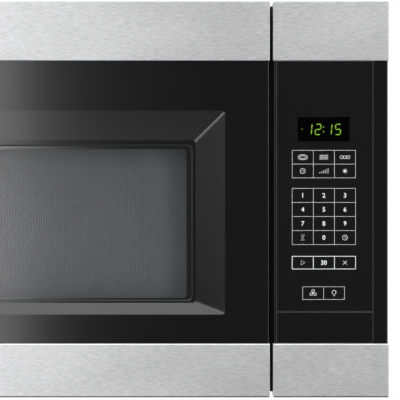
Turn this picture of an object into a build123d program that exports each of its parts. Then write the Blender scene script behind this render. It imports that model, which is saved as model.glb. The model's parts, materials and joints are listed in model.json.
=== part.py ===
from build123d import *
import os
from math import cos, radians, sin

# Over-the-range microwave oven, in millimetres. It hangs on a wall: X runs to the right seen
# from the front, the front faces -Y and Z is up. The origin is the centre of the rear face.
# "Depth" is the distance from the wall, so a depth d lies at Y = -d.

# ------------------------------------------------------------------ overall
width = 759.0                 # over the door and the control panel
height = 417.5                # of the door and the control panel
case_depth = 350.0            # wall to the face that the door closes on
door_air = 2.0                # from that face to the back edge of the door
door_depth = 41.5
control_width = 122.1
door_split = 3.2              # slit between the door and the control panel
case_drop = 2.5               # cabinet top below the door's top edge
case_rise = 3.5               # cabinet underside above the door's lower edge
sheet = 1.0                   # steel sheet of the case, base, frame and liner
plastic = 2.5                 # wall of the large mouldings
case_corner = 4.0             # outside bend of the case
case_lip = 14.0               # flanges turned in under the sides
seat = 0.3                    # air round a piece that drops into its place
running = 0.05                # radial clearance of pins and shafts

# ------------------------------------------------------------------ oven cavity
cavity_width = 530.0
cavity_headroom = 101.5       # door's upper edge down to the cavity roof
cavity_depth = 330.0
cavity_x = -70.0              # middle of the cavity
cavity_lift = 84.0            # cavity floor above the door's lower edge
cavity_corner = 5.0
well_radius = 158.0           # raised ring that the turntable stands in
well_wall = 3.0
well_rise = 2.0

# ------------------------------------------------------------------ door
band_sheet = 1.0              # stainless bands
band_top = 62.5
band_bottom = 56.5
band_wrap = 20.0              # how far a band runs back round the edges
band_corner = 2.0
window_side = 47.3            # door edge to the window recess, left and right
window_sill = 87.3            # door's lower edge to the window recess
window_head = 115.2           # door's upper edge to the window recess
recess_depth = 8.0
slope_side = 31.1             # widths of the recess' four slopes
slope_top = 31.1
slope_sill = 12.1
rim_side = 5.0                # flat rim between the slopes and the opening
rim_top = 6.0
rim_sill = 3.4
rim_round = 1.8               # round edge of the rim
recess_corner = 3.7
pane_thickness = 3.0
pane_lap = 8.0                # pane behind the rim, beyond the opening
seal_land = 10.0              # flat of the door round the cavity mouth
choke_width = 20.0            # microwave trap round the land
choke_depth = 24.0
comb_slot = 4.0
comb_pitch = 24.0
screen_sheet = 0.6
film = 0.8                    # clear inner window
boss_radius = 4.5
screw_radius = 1.5            # small screws
screw_head = 3.2
screw_head_height = 1.8

# ------------------------------------------------------------------ door hinges and latch
hinge_inset = 8.0             # hinge axis from the door's left edge
hinge_setback = 12.0          # hinge axis in front of the door's back edge
hinge_clear = 7.75            # air between the base and the lower tongue
hinge_sheet = 2.5
hinge_radius = 4.5            # round end of a tongue
hinge_plate = 3.0             # plate behind the front frame
pin_radius = 2.5
pin_length = 13.0
bush_wall = 1.2
bush_length = 12.0
latch_offset = 19.0           # latch bar from the door's right edge
latch_thickness = 5.0
latch_bar = 8.0
hook_reach = 26.0             # of the hooks behind the door's back edge
hook_height = 9.0
hook_upper_inset = 27.25      # upper hook's middle below the cavity roof
hook_lower_inset = 29.75      # lower hook's middle above the cavity floor
latch_travel = 4.0

# ------------------------------------------------------------------ control panel
overlay_left = 3.6            # from the control panel's left edge
overlay_width = 102.3
insert_height = 33.4          # lower plate of the panel
overlay_sheet = 1.5
display_left = 25.9           # display window from the panel's left edge
display_width = 55.1
display_height = 26.2
display_drop = 59.3           # display window below the upper band
board_sheet = 1.6

# ------------------------------------------------------------------ turntable
tray_radius = 152.5
tray_glass = 5.0
tray_rim = 13.0
roller_radius = 7.5
roller_width = 8.0
roller_circle = 95.0
axle_radius = 1.5
drive_radius = 3.5

# ------------------------------------------------------------------ air paths
duct_width = 254.0            # 10 x 3 1/4 inch exhaust duct
duct_depth = 82.5
duct_rear = 18.75             # duct's rear side from the wall
duct_wall = 2.0
duct_flange = 10.0
filter_width = 194.0
filter_depth = 149.0
filter_thickness = 6.0
filter_spacing = 336.0
filter_middle = 150.0
grille_rear = 318.0
grille_front = 346.0
grille_inset = 8.0            # grille's ends from the case's left side and the door's right edge
wheel_radius = 33.0
wheel_length = 60.0
scroll_length = 72.0
scroll_wall = 1.5
blower_depth = 54.0

# ------------------------------------------------------------------ mounts
bolt_spacing = 600.0          # cabinet bolts, 1/4-20
bolt_depth = 265.0
nut_bore = 2.55
nut_corner = 6.45
nut_height = 5.6
bolt_clear = 1.0              # hole of the case round the bolt
hook_slot_spread = 500.0      # slots for the hooks of the wall plate
hook_slot_width = 44.0
hook_slot_height = 9.0
hook_slot_rise = 40.0

# ------------------------------------------------------------------ electrical bay
bay_x = 300.0                 # middle of the bay right of the cavity
cord_x, cord_depth, cord_hole = 335.0, 30.0, 13.0

# ------------------------------------------------------------------ places worked out
left, right = -width / 2, width / 2
bottom, top = -height / 2, height / 2
case_top, case_bottom = top - case_drop, bottom + case_rise
case_front = case_depth - sheet
door_back = case_depth + door_air
front = door_back + door_depth
face = front - band_sheet
door_right = right - control_width - door_split
control_left = right - control_width
inner_left, inner_right = left + sheet, right - sheet
roof, floor = case_top - sheet, case_bottom + sheet

cavity_left, cavity_right = cavity_x - cavity_width / 2, cavity_x + cavity_width / 2
cavity_floor = bottom + cavity_lift
cavity_roof = top - cavity_headroom
cavity_rear = case_depth - cavity_depth
turn_depth = case_depth - cavity_depth / 2

window_left, window_right = left + window_side, door_right - window_side
window_low = bottom + window_sill
window_high = top - window_head
rim_left, rim_right = window_left + slope_side, window_right - slope_side
rim_low, rim_high = window_low + slope_sill, window_high - slope_top
pane_left, pane_right = rim_left + rim_side, rim_right - rim_side
pane_low, pane_high = rim_low + rim_sill, rim_high - rim_top
pane_back = face - recess_depth - plastic - pane_thickness

land_left, land_right = cavity_left - seal_land, cavity_right + seal_land
land_low, land_high = cavity_floor - seal_land, cavity_roof + seal_land
chassis_back = door_back + 1.0
chassis_front = chassis_back + sheet + choke_depth

hinge_x, hinge_depth = left + hinge_inset, door_back + hinge_setback
hinge_reach = -floor - hinge_clear - hinge_sheet
hinge_screw_x = hinge_x + 14.0
hinge_screw_heights = (hinge_reach - 10.0, hinge_reach - 24.0)
latch_x = door_right - latch_offset
hook_end = door_back - hook_reach
hook_upper, hook_lower = cavity_roof - hook_upper_inset, cavity_floor + hook_lower_inset

bolt_places = [(side * bolt_spacing / 2, -bolt_depth) for side in (-1, 1)]
hook_slot_z = case_bottom + hook_slot_rise
filter_places = [(cavity_x + side * filter_spacing / 2, -filter_middle) for side in (-1, 1)]
grille_left, grille_right = left + grille_inset, door_right - grille_inset
duct_front = duct_rear + duct_depth


def facing(depth):
    """A plane seen from the front, at this distance from the wall."""
    return Plane.XZ.offset(depth)


def level(z):
    """A plane seen from above, at this height."""
    return Plane.XY.offset(z)


def upright(x):
    """A plane seen from the right-hand side: its first axis is Y, its second Z."""
    return Plane.YZ.offset(x)


def area(low, high, under, over, radius=0.0, mode=Mode.ADD):
    """A rectangle given by its four edges."""
    with Locations(((low + high) / 2, (under + over) / 2)):
        if radius:
            RectangleRounded(high - low, over - under, radius, mode=mode)
        else:
            Rectangle(high - low, over - under, mode=mode)


def footprint(low, high, rear, ahead, radius=0.0, mode=Mode.ADD):
    """A rectangle on a level plane, from one depth to another."""
    area(low, high, -ahead, -rear, radius, mode)


def save(part, label):
    part.label = label
    export_step(part, f"parts/{label}.step")


os.makedirs("parts", exist_ok=True)

# ================================================================== cabinet
# Painted steel wrap: top and two sides, lips turned in under the sides, and two weld nuts under
# the top for the cabinet bolts
with BuildPart() as outer_case:
    with BuildSketch(facing(0)) as outline:
        area(left, right, case_bottom, case_top)
        fillet(outline.vertices().group_by(Axis.Y)[-1], case_corner)
    extrude(amount=case_front)
    with BuildSketch(facing(0)) as hollow:
        area(inner_left, inner_right, case_bottom, roof)
        fillet(hollow.vertices().group_by(Axis.Y)[-1], case_corner - sheet)
    extrude(amount=case_front, mode=Mode.SUBTRACT)
    with BuildSketch(level(floor)):
        footprint(inner_left, inner_left + case_lip, sheet, case_front)
        footprint(inner_right - case_lip, inner_right, sheet, case_front)
    extrude(amount=sheet)
    with BuildSketch(level(case_top)):
        reach = duct_wall + seat
        footprint(-duct_width / 2 - reach, duct_width / 2 + reach, duct_rear - reach, duct_front + reach)
        footprint(grille_left, grille_right, grille_rear, grille_front)
        with Locations((cord_x, -cord_depth)):
            Circle(cord_hole)
        with Locations(*bolt_places):
            Circle(nut_bore + bolt_clear)
    extrude(amount=-2 * sheet, mode=Mode.SUBTRACT)
    with BuildSketch(level(roof)):
        with Locations(*bolt_places):
            RegularPolygon(nut_corner, 6)
            Circle(nut_bore, mode=Mode.SUBTRACT)
    extrude(amount=-nut_height)
save(outer_case.part, "outer_case")

# Rubber bushing where the supply cord leaves the top, a grooved ring
cord_radius, bushing_flange, bushing_grip, bushing_head = 7.0, 16.0, 4.0, 2.0
with BuildPart() as cord_bushing:
    with BuildSketch(upright(cord_x)):
        bore, groove, flange = (-cord_depth + out for out in (cord_radius, cord_hole - seat, bushing_flange))
        with BuildLine():
            Polyline((bore, roof - bushing_grip), (flange, roof - bushing_grip), (flange, roof), (groove, roof),
                     (groove, case_top), (flange, case_top), (flange, case_top + bushing_head),
                     (bore, case_top + bushing_head), close=True)
        make_face()
    revolve(axis=Axis((cord_x, -cord_depth, 0), (0, 0, 1)))
save(cord_bushing.part, "cord_bushing")

# Rear wall with the slots that hook on the wall plate
with BuildPart() as rear_panel:
    with BuildSketch(facing(0)) as outline:
        area(inner_left, inner_right, floor, roof)
        fillet(outline.vertices().group_by(Axis.Y)[-1], case_corner - sheet)
        with Locations((-hook_slot_spread / 2, hook_slot_z), (hook_slot_spread / 2, hook_slot_z)):
            SlotOverall(hook_slot_width, hook_slot_height, mode=Mode.SUBTRACT)
    extrude(amount=sheet)
save(rear_panel.part, "rear_panel")

# Base with the filter openings, the lamp opening and the cooling slots, the wall between the
# filter duct and the electrical side, and the ears and pin of the lamp cover
base_flange = 6.0
partition_x, partition_rise = cavity_right + sheet, 12.0
slot_bank_depth, slot_bank_pitch, slot_bank_row, slot_bank_count = 60.0, 16.0, 40.0, 7
base_slot_length, base_slot_width = 30.0, 5.0
lamp_x, lamp_depth, lamp_width, lamp_reach = cavity_x + 8.0, 200.0, 80.0, 56.0
lamp_left, lamp_right = lamp_x - lamp_width / 2, lamp_x + lamp_width / 2
cover_pin, cover_barrel = 1.2, 2.4
cover_hinge_z = case_bottom + 3.0
cover_axis = lamp_depth - lamp_reach / 2 + 4.5
cover_front = lamp_depth + lamp_reach / 2
ear, ear_gap, ear_ahead, ear_behind, ear_below = 3.0, 1.0, 5.0, 9.0, 3.0
with BuildPart() as base_panel:
    with BuildSketch(level(case_bottom)):
        footprint(inner_left, inner_right, 0, case_front)
        with Locations(*filter_places):
            Rectangle(filter_width + 2 * seat, filter_depth + 2 * seat, mode=Mode.SUBTRACT)
        with Locations((lamp_x, -lamp_depth)):
            Rectangle(lamp_width + 2 * seat, lamp_reach + 2 * seat, mode=Mode.SUBTRACT)
        with Locations((bay_x, -slot_bank_depth)):
            with GridLocations(slot_bank_pitch, slot_bank_row, slot_bank_count, 2):
                SlotOverall(base_slot_length, base_slot_width, rotation=90, mode=Mode.SUBTRACT)
    extrude(amount=sheet)
    with BuildSketch(level(floor)):
        footprint(inner_left + case_lip, inner_right - case_lip, sheet, 2 * sheet)
        footprint(inner_left + case_lip, inner_right - case_lip, case_front - sheet, case_front)
    extrude(amount=base_flange)
    with BuildSketch(facing(2 * sheet)):
        area(partition_x, partition_x + sheet, floor, cavity_floor + partition_rise)
    extrude(amount=case_front - 3 * sheet)
    with BuildSketch(upright(lamp_left - ear_gap - ear)):
        with Locations((-cover_axis, cover_hinge_z)):
            Circle(cover_pin)
    extrude(amount=lamp_width + 2 * (ear_gap + ear))
    for start in (lamp_left - ear_gap - ear, lamp_right + ear_gap):
        with BuildSketch(upright(start)):
            area(-cover_axis - ear_ahead, -cover_axis + ear_behind, floor, cover_hinge_z + ear_below)
        extrude(amount=ear)
save(base_panel.part, "base_panel")

# Front frame round the cavity mouth, with the windows of the latch hooks, the hinge slots and
# the opening that the control panel's wires pass through
hook_clear, hook_window_corner = 3.0, 1.5
wire_inset, wire_end, wire_corner = 11.0, 58.75, 4.0
screw_clear = 0.5


def hook_windows():
    """Cuts the windows that the two latch hooks pass through."""
    for hook in (hook_upper, hook_lower):
        area(latch_x - latch_thickness / 2 - hook_clear, latch_x + latch_thickness / 2 + hook_clear,
             hook - hook_height / 2 - hook_clear, hook + hook_height / 2 + latch_travel + hook_clear,
             hook_window_corner, Mode.SUBTRACT)


with BuildPart() as front_frame:
    with BuildSketch(facing(case_front)):
        area(left, right, case_bottom, case_top, band_corner)
        area(cavity_left, cavity_right, cavity_floor, cavity_roof, cavity_corner, Mode.SUBTRACT)
        area(control_left + wire_inset, right - wire_inset, bottom + wire_end, top - wire_end, wire_corner,
             Mode.SUBTRACT)
        hook_windows()
        for side in (1, -1):
            with Locations((hinge_x, side * (hinge_reach + hinge_sheet / 2))):
                Rectangle(2 * hinge_radius + 2 * seat, hinge_sheet + 2 * seat, mode=Mode.SUBTRACT)
            with Locations(*((hinge_screw_x, side * z) for z in hinge_screw_heights)):
                Circle(screw_radius + screw_clear, mode=Mode.SUBTRACT)
    extrude(amount=sheet)
save(front_frame.part, "front_frame")

# Cavity liner: five enamelled walls, open to the front, with the microwave port, the air vents
# and the holes under the oven lamp
port_drop, port_tall, port_rear, port_front, port_corner = 50.25, 52.0, 125.0, 205.0, 2.0
port_high = cavity_roof - port_drop
port_low = port_high - port_tall
vent_hole, vent_spacing, vent_columns, vent_rows, vent_depth, vent_drop = 2.2, 9.0, 4, 7, 285.0, 47.25
cavity_lamp_x, cavity_lamp_depth = 140.0, 300.0
lamp_hole, lamp_spacing, lamp_columns, lamp_rows = 1.8, 6.0, 5, 4
shaft_clear = 2.5
with BuildPart() as cavity_liner:
    with BuildSketch(facing(cavity_rear - sheet)):
        area(cavity_left - sheet, cavity_right + sheet, cavity_floor - sheet, cavity_roof + sheet,
             cavity_corner + sheet)
    extrude(amount=case_front - cavity_rear + sheet)
    with BuildSketch(facing(cavity_rear)):
        area(cavity_left, cavity_right, cavity_floor, cavity_roof, cavity_corner)
    extrude(amount=case_front - cavity_rear, mode=Mode.SUBTRACT)
    with BuildSketch(level(cavity_floor)):
        with Locations((cavity_x, -turn_depth)):
            Circle(well_radius)
            Circle(well_radius - well_wall, mode=Mode.SUBTRACT)
    extrude(amount=well_rise)
    with BuildSketch(level(cavity_floor)):
        with Locations((cavity_x, -turn_depth)):
            Circle(drive_radius + shaft_clear)
    extrude(amount=-sheet, mode=Mode.SUBTRACT)
    with BuildSketch(upright(cavity_right)):
        area(-port_front, -port_rear, port_low, port_high, port_corner)
        with Locations((-vent_depth, cavity_roof - vent_drop)):
            with GridLocations(vent_spacing, vent_spacing, vent_columns, vent_rows):
                Circle(vent_hole)
    extrude(amount=sheet, mode=Mode.SUBTRACT)
    with BuildSketch(level(cavity_roof)):
        with Locations((cavity_lamp_x, -cavity_lamp_depth)):
            with GridLocations(lamp_spacing, lamp_spacing, lamp_columns, lamp_rows):
                Circle(lamp_hole)
    extrude(amount=sheet, mode=Mode.SUBTRACT)
save(cavity_liner.part, "cavity_liner")

# ================================================================== microwave source
# Waveguide: a flanged box on the cavity's right wall
guide_depth, guide_wall, guide_flange, guide_corner = 40.0, 1.2, 10.0, 3.0
guide_rear, guide_front, guide_margin = 110.0, 270.0, 15.0
guide_low, guide_high = port_low - guide_margin, port_high + guide_margin
tube_depth, antenna_hole = 215.0, 15.0
tube_z = (guide_low + guide_high) / 2
guide_start = cavity_right + sheet
guide_face = guide_start + guide_depth
with BuildPart() as waveguide:
    with BuildSketch(upright(guide_start)):
        area(-guide_front, -guide_rear, guide_low, guide_high, guide_corner)
    extrude(amount=guide_depth)
    with BuildSketch(upright(guide_start)):
        area(-guide_front + guide_wall, -guide_rear - guide_wall, guide_low + guide_wall,
             guide_high - guide_wall, guide_corner - guide_wall)
    extrude(amount=guide_depth - guide_wall, mode=Mode.SUBTRACT)
    with BuildSketch(upright(guide_start)):
        area(-guide_front - guide_flange, -guide_rear + guide_flange, guide_low - guide_flange,
             guide_high + guide_flange, guide_corner)
        area(-guide_front, -guide_rear, guide_low, guide_high, guide_corner, Mode.SUBTRACT)
    extrude(amount=guide_wall)
    with BuildSketch(upright(guide_face)):
        with Locations((-tube_depth, tube_z)):
            Circle(antenna_hole)
    extrude(amount=-guide_wall, mode=Mode.SUBTRACT)
save(waveguide.part, "waveguide")

# Mica plate over the port, inside the cavity
mica_lap, mica_corner = 8.0, 6.0
with BuildPart() as port_cover:
    with BuildSketch(upright(cavity_right)):
        area(-port_front - mica_lap, -port_rear + mica_lap, port_low - mica_lap, port_high + mica_lap, mica_corner)
    extrude(amount=-film)
save(port_cover.part, "port_cover")

# Magnetron: plate, antenna, anode with its cooling fins, filter box and the yoke over them
plate_thickness, plate_half_depth, plate_half_height = 3.0, 45.0, 40.0
antenna_radius, antenna_length, antenna_tip = 7.5, 24.0, 3.0
anode_radius, anode_length = 19.0, 58.0
fin_count, fin_spacing, fin_sheet, fin_first, fin_wide, fin_tall = 9, 4.4, 0.8, 9.0, 74.0, 52.0
box_half_depth, box_half_height, box_length = 34.0, 28.0, 24.0
yoke_half_depth, yoke_rise, yoke_sheet = 39.0, 28.5, 1.5
anode_start = guide_face + plate_thickness
with BuildPart() as magnetron:
    with BuildSketch(upright(guide_face)):
        with Locations((-tube_depth, tube_z)):
            RectangleRounded(2 * plate_half_depth, 2 * plate_half_height, 4.0)
    extrude(amount=plate_thickness)
    with BuildSketch(upright(guide_face)):
        with Locations((-tube_depth, tube_z)):
            Circle(antenna_radius)
    extrude(amount=-antenna_length)
    with BuildSketch(upright(anode_start)):
        with Locations((-tube_depth, tube_z)):
            Circle(anode_radius)
    extrude(amount=anode_length)
    for number in range(fin_count):
        with BuildSketch(upright(anode_start + fin_first + number * fin_spacing)):
            with Locations((-tube_depth, tube_z)):
                Rectangle(fin_wide, fin_tall)
        extrude(amount=fin_sheet)
    with BuildSketch(upright(anode_start + anode_length)):
        with Locations((-tube_depth, tube_z)):
            RectangleRounded(2 * box_half_depth, 2 * box_half_height, 3.0)
    extrude(amount=box_length)
    fillet(magnetron.faces().sort_by(Axis.X)[0].edges(), antenna_tip)
    with BuildSketch(facing(tube_depth - yoke_half_depth)):
        area(anode_start, anode_start + anode_length, tube_z - yoke_rise - yoke_sheet, tube_z - yoke_rise)
        area(anode_start, anode_start + anode_length, tube_z + yoke_rise, tube_z + yoke_rise + yoke_sheet)
    extrude(amount=2 * yoke_half_depth)
save(magnetron.part, "magnetron")

# Transformer: laminated core on its footplate, and the two windings round the middle limb
core_depth, core_width, core_height, core_stack = 112.0, 96.0, 80.0, 62.0
core_limb, core_window = 16.0, 20.0
core_foot, foot_plate, foot_screw, foot_inset = 12.0, 2.0, 2.5, 8.0
window_shift = core_width / 2 - core_limb - core_window / 2
with BuildPart() as transformer_core:
    with BuildSketch(facing(core_depth - core_stack / 2)):
        area(bay_x - core_width / 2, bay_x + core_width / 2, floor, floor + core_height)
        for side in (-1, 1):
            with Locations((bay_x + side * window_shift, floor + core_height / 2)):
                Rectangle(core_window, core_height - 2 * core_limb, mode=Mode.SUBTRACT)
    extrude(amount=core_stack)
    with BuildSketch(level(floor)):
        with Locations((bay_x, -core_depth)):
            Rectangle(core_width, core_stack + 2 * core_foot)
            with GridLocations(core_width - 2 * foot_inset, core_stack + core_foot, 2, 2):
                Circle(foot_screw, mode=Mode.SUBTRACT)
    extrude(amount=foot_plate)
save(transformer_core.part, "transformer_core")

coil_gap, coil_corner, coil_divide, coil_shift = 0.4, 12.0, 2.0, 4.0
centre_limb = 2 * window_shift - core_window
coil_low, coil_high = floor + core_limb + coil_gap, floor + core_height - core_limb - coil_gap
coil_split = (coil_low + coil_high) / 2 + coil_shift
with BuildPart() as transformer_windings:
    for under, over in ((coil_low, coil_split - coil_divide / 2), (coil_split + coil_divide / 2, coil_high)):
        with BuildSketch(level(under)):
            with Locations((bay_x, -core_depth)):
                RectangleRounded(centre_limb + 2 * (core_window - coil_gap),
                                 core_stack + 2 * (core_window - coil_gap), coil_corner)
                Rectangle(centre_limb + 2 * coil_gap, core_stack + 2 * coil_gap, mode=Mode.SUBTRACT)
        extrude(amount=over - under)
save(transformer_windings.part, "transformer_windings")

# High-voltage capacitor, lying in its strap, with two terminals
can_depth, can_length, can_width, can_height = 232.0, 92.0, 52.0, 32.0
can_z = floor + can_height / 2 + 3.0
strap_width, strap_foot, strap_pad = 20.0, 48.0, 8.0
terminal_radius, terminal_length, terminal_shift = 4.0, 7.0, 10.0
with BuildPart() as capacitor:
    with BuildSketch(upright(bay_x - can_length / 2)):
        with Locations((-can_depth, can_z)):
            SlotOverall(can_width, can_height)
    extrude(amount=can_length)
    with BuildSketch(upright(bay_x + can_length / 2)):
        with Locations((-can_depth - terminal_shift, can_z), (-can_depth + terminal_shift, can_z)):
            Circle(terminal_radius)
    extrude(amount=terminal_length)
    with BuildSketch(upright(bay_x - strap_width / 2)):
        with Locations((-can_depth, can_z)):
            SlotOverall(can_width + 2 * sheet, can_height + 2 * sheet)
        area(-can_depth - strap_foot, -can_depth + strap_foot, floor, floor + sheet)
        area(-can_depth - strap_pad, -can_depth + strap_pad, floor, can_z - can_height / 2)
    extrude(amount=strap_width)
save(capacitor.part, "capacitor")

# ================================================================== cooling fan
# Shroud: a plate with its air ring, on four pillars from the rear wall
fan_x, fan_radius, fan_ring, fan_rear, fan_lift = bay_x, 54.0, 58.0, 62.0, 4.0
fan_z = tube_z + fan_lift
shroud_side, shroud_wall, shroud_corner, ring_depth = 140.0, 2.0, 8.0, 26.0
pillar_spacing, pillar_radius = 126.0, 5.0
with BuildPart() as fan_shroud:
    with BuildSketch(facing(fan_rear)):
        with Locations((fan_x, fan_z)):
            RectangleRounded(shroud_side, shroud_side, shroud_corner)
            Circle(fan_ring - shroud_wall, mode=Mode.SUBTRACT)
    extrude(amount=shroud_wall)
    with BuildSketch(facing(fan_rear)):
        with Locations((fan_x, fan_z)):
            Circle(fan_ring)
            Circle(fan_ring - shroud_wall, mode=Mode.SUBTRACT)
    extrude(amount=ring_depth)
    with BuildSketch(facing(sheet)):
        with Locations((fan_x, fan_z)), GridLocations(pillar_spacing, pillar_spacing, 2, 2):
            Circle(pillar_radius)
    extrude(amount=fan_rear - sheet)
save(fan_shroud.part, "fan_shroud")

# Its motor: laminated stack, round bearing caps and the cross-bar on the shroud
stack_side, stack_rear, stack_length, stack_corner = 56.0, 34.0, 22.0, 4.0
cap_radius, cap_rear, cap_length, cap_chamfer = 22.0, 40.0, 38.0, 2.0
bar_lap, bar_width, bar_sheet = 5.0, 16.0, 2.0
fan_shaft, fan_bore = 3.0, 30.0
with BuildPart() as fan_motor:
    with BuildSketch(facing(fan_rear - stack_rear)):
        with Locations((fan_x, fan_z)):
            RectangleRounded(stack_side, stack_side, stack_corner)
    extrude(amount=stack_length)
    with BuildSketch(facing(fan_rear - cap_rear)):
        with Locations((fan_x, fan_z)):
            Circle(cap_radius)
    extrude(amount=cap_length)
    with BuildSketch(facing(fan_rear - bar_sheet)):
        with Locations((fan_x, fan_z)):
            Rectangle(2 * (fan_ring + bar_lap), bar_width)
    extrude(amount=bar_sheet)
    with BuildSketch(facing(fan_rear)):
        with Locations((fan_x, fan_z)):
            Circle(fan_shaft + running)
    extrude(amount=-fan_bore, mode=Mode.SUBTRACT)
    chamfer(fan_motor.faces().sort_by(Axis.Y)[-1].edges(), cap_chamfer)
save(fan_motor.part, "fan_motor")

# Its wheel: five twisted blades lofted out from the hub, trimmed to a circle
fan_blades, fan_hub, hub_start, hub_length, hub_root = 5, 15.0, 4.0, 18.0, 3.0
blade_sheet, root_chord, root_angle, tip_chord, tip_angle, blade_trim = 1.6, 17.0, 32.0, 30.0, 22.0, 40.0
shaft_tail, shaft_length = 20.0, 26.0
with BuildPart() as cooling_fan:
    with BuildSketch(facing(fan_rear + hub_start)):
        with Locations((fan_x, fan_z)):
            Circle(fan_hub)
    extrude(amount=hub_length)
    root = fan_hub - hub_root
    for number in range(fan_blades):
        turn = radians(360.0 / fan_blades * number)
        spot = Plane((fan_x + root * cos(turn), -fan_rear - hub_start - hub_length / 2, fan_z + root * sin(turn)),
                     x_dir=(-sin(turn), 0, cos(turn)), z_dir=(cos(turn), 0, sin(turn)))
        with BuildSketch(spot):
            Rectangle(root_chord, blade_sheet, rotation=root_angle)
        with BuildSketch(spot.offset(fan_radius - root)):
            Rectangle(tip_chord, blade_sheet, rotation=tip_angle)
        loft()
    with BuildSketch(facing(fan_rear)):
        with Locations((fan_x, fan_z)):
            Circle(fan_radius)
    extrude(amount=blade_trim, mode=Mode.INTERSECT)
    with BuildSketch(facing(fan_rear - shaft_tail)):
        with Locations((fan_x, fan_z)):
            Circle(fan_shaft)
    extrude(amount=shaft_length)
save(cooling_fan.part, "cooling_fan")

# Line filter board, hung from the top on four posts, with its choke and two capacitors
filter_drop, filter_post, filter_corner = 24.0, 3.0, 2.0
filter_half_width, board_rear, board_ahead, post_inset = 48.0, 56.0, 116.0, 6.0
component_drop = 18.0
with BuildPart() as line_filter:
    with BuildSketch(level(roof - filter_drop)):
        footprint(bay_x - filter_half_width, bay_x + filter_half_width, board_rear, board_ahead, filter_corner)
    extrude(amount=board_sheet)
    with BuildSketch(level(roof - filter_drop + board_sheet)):
        with Locations((bay_x, -(board_rear + board_ahead) / 2)):
            with GridLocations(2 * (filter_half_width - post_inset), board_ahead - board_rear - 2 * post_inset, 2, 2):
                Circle(filter_post)
    extrude(amount=filter_drop - board_sheet)
    with BuildSketch(level(roof - filter_drop)):
        footprint(bay_x - 38.0, bay_x - 10.0, board_rear + 10.0, board_rear + 36.0, 3.0)
        footprint(bay_x, bay_x + 18.0, board_rear + 8.0, board_rear + 30.0, 1.0)
        footprint(bay_x + 24.0, bay_x + 40.0, board_rear + 8.0, board_rear + 40.0, 1.0)
    extrude(amount=-component_drop)
save(line_filter.part, "line_filter")

# ================================================================== exhaust blower and damper
# Two scroll housings, one at each end of the motor
scroll_drop, scroll_lift = 18.0, 42.5
scroll_top = case_top - scroll_drop
blower_z = cavity_roof + sheet + scroll_lift
scroll_front, scroll_rear, scroll_low, tongue = 47.0, 38.0, 40.5, 36.0
tongue_angle = -240
blower_offset = 50.0
inlet_lip = 7.0


def scroll_point(radius, angle):
    """A point round the blower's axis, the angle counted up from the front."""
    return (-blower_depth - radius * cos(radians(angle)), blower_z + radius * sin(radians(angle)))


def scroll_outline():
    """Draws the spiral round the wheel and its outlet upwards."""
    for start, middle, end, near, far in ((0, -45, -90, scroll_front, scroll_low),
                                          (-90, -135, -180, scroll_low, scroll_rear),
                                          (-180, -210, tongue_angle, scroll_rear, tongue)):
        ThreePointArc(scroll_point(near, start), scroll_point((near + far) / 2, middle), scroll_point(far, end))
    Polyline(scroll_point(tongue, tongue_angle), (tongue_y, scroll_top),
             (-blower_depth - scroll_front, scroll_top), scroll_point(scroll_front, 0))


tongue_y = scroll_point(tongue, tongue_angle)[0]
with BuildPart() as blower_housing:
    with BuildSketch(upright(blower_offset)):
        with BuildLine():
            scroll_outline()
        make_face()
    extrude(amount=scroll_length)
    with BuildSketch(upright(blower_offset + scroll_wall)):
        with BuildLine():
            scroll_outline()
        make_face()
        offset(amount=-scroll_wall, kind=Kind.INTERSECTION)
        area(-blower_depth - scroll_front + scroll_wall, tongue_y - scroll_wall,
             scroll_top - 2 * scroll_wall, scroll_top)
    extrude(amount=scroll_length - 2 * scroll_wall, mode=Mode.SUBTRACT)
    with BuildSketch(upright(blower_offset)):
        with Locations((-blower_depth, blower_z)):
            Circle(wheel_radius - inlet_lip)
    extrude(amount=scroll_length, mode=Mode.SUBTRACT)
    mirror(about=Plane.YZ)
save(blower_housing.part, "blower_housing")

# Motor with a shaft at both ends, and the saddle that carries it on the cavity roof
shaft_radius, blower_motor_radius, blower_motor_half, motor_round = 4.0, 34.0, 34.0, 6.0
saddle_half, saddle_foot, saddle_plate = 22.0, 40.0, 1.5
saddle_narrow, saddle_wide, saddle_drop = 26.0, 31.0, 14.0
with BuildPart() as blower_motor:
    with BuildSketch(upright(-blower_motor_half)):
        with Locations((-blower_depth, blower_z)):
            Circle(blower_motor_radius)
    extrude(amount=2 * blower_motor_half)
    fillet(blower_motor.edges().filter_by(GeomType.CIRCLE), motor_round)
    with BuildSketch(upright(-saddle_half)):
        saddle_low = cavity_roof + sheet
        saddle_step, saddle_high = saddle_low + saddle_plate, blower_z - saddle_drop
        area(-blower_depth - saddle_foot, -blower_depth + saddle_foot, saddle_low, saddle_step)
        with BuildLine():
            Polyline((-blower_depth - saddle_narrow, saddle_step), (-blower_depth + saddle_narrow, saddle_step),
                     (-blower_depth + saddle_wide, saddle_high), (-blower_depth - saddle_wide, saddle_high),
                     close=True)
        make_face()
    extrude(amount=2 * saddle_half)
    with BuildSketch(upright(-blower_motor_half)):
        with Locations((-blower_depth, blower_z)):
            Circle(shaft_radius + running)
    extrude(amount=2 * blower_motor_half, mode=Mode.SUBTRACT)
save(blower_motor.part, "blower_motor")

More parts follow.
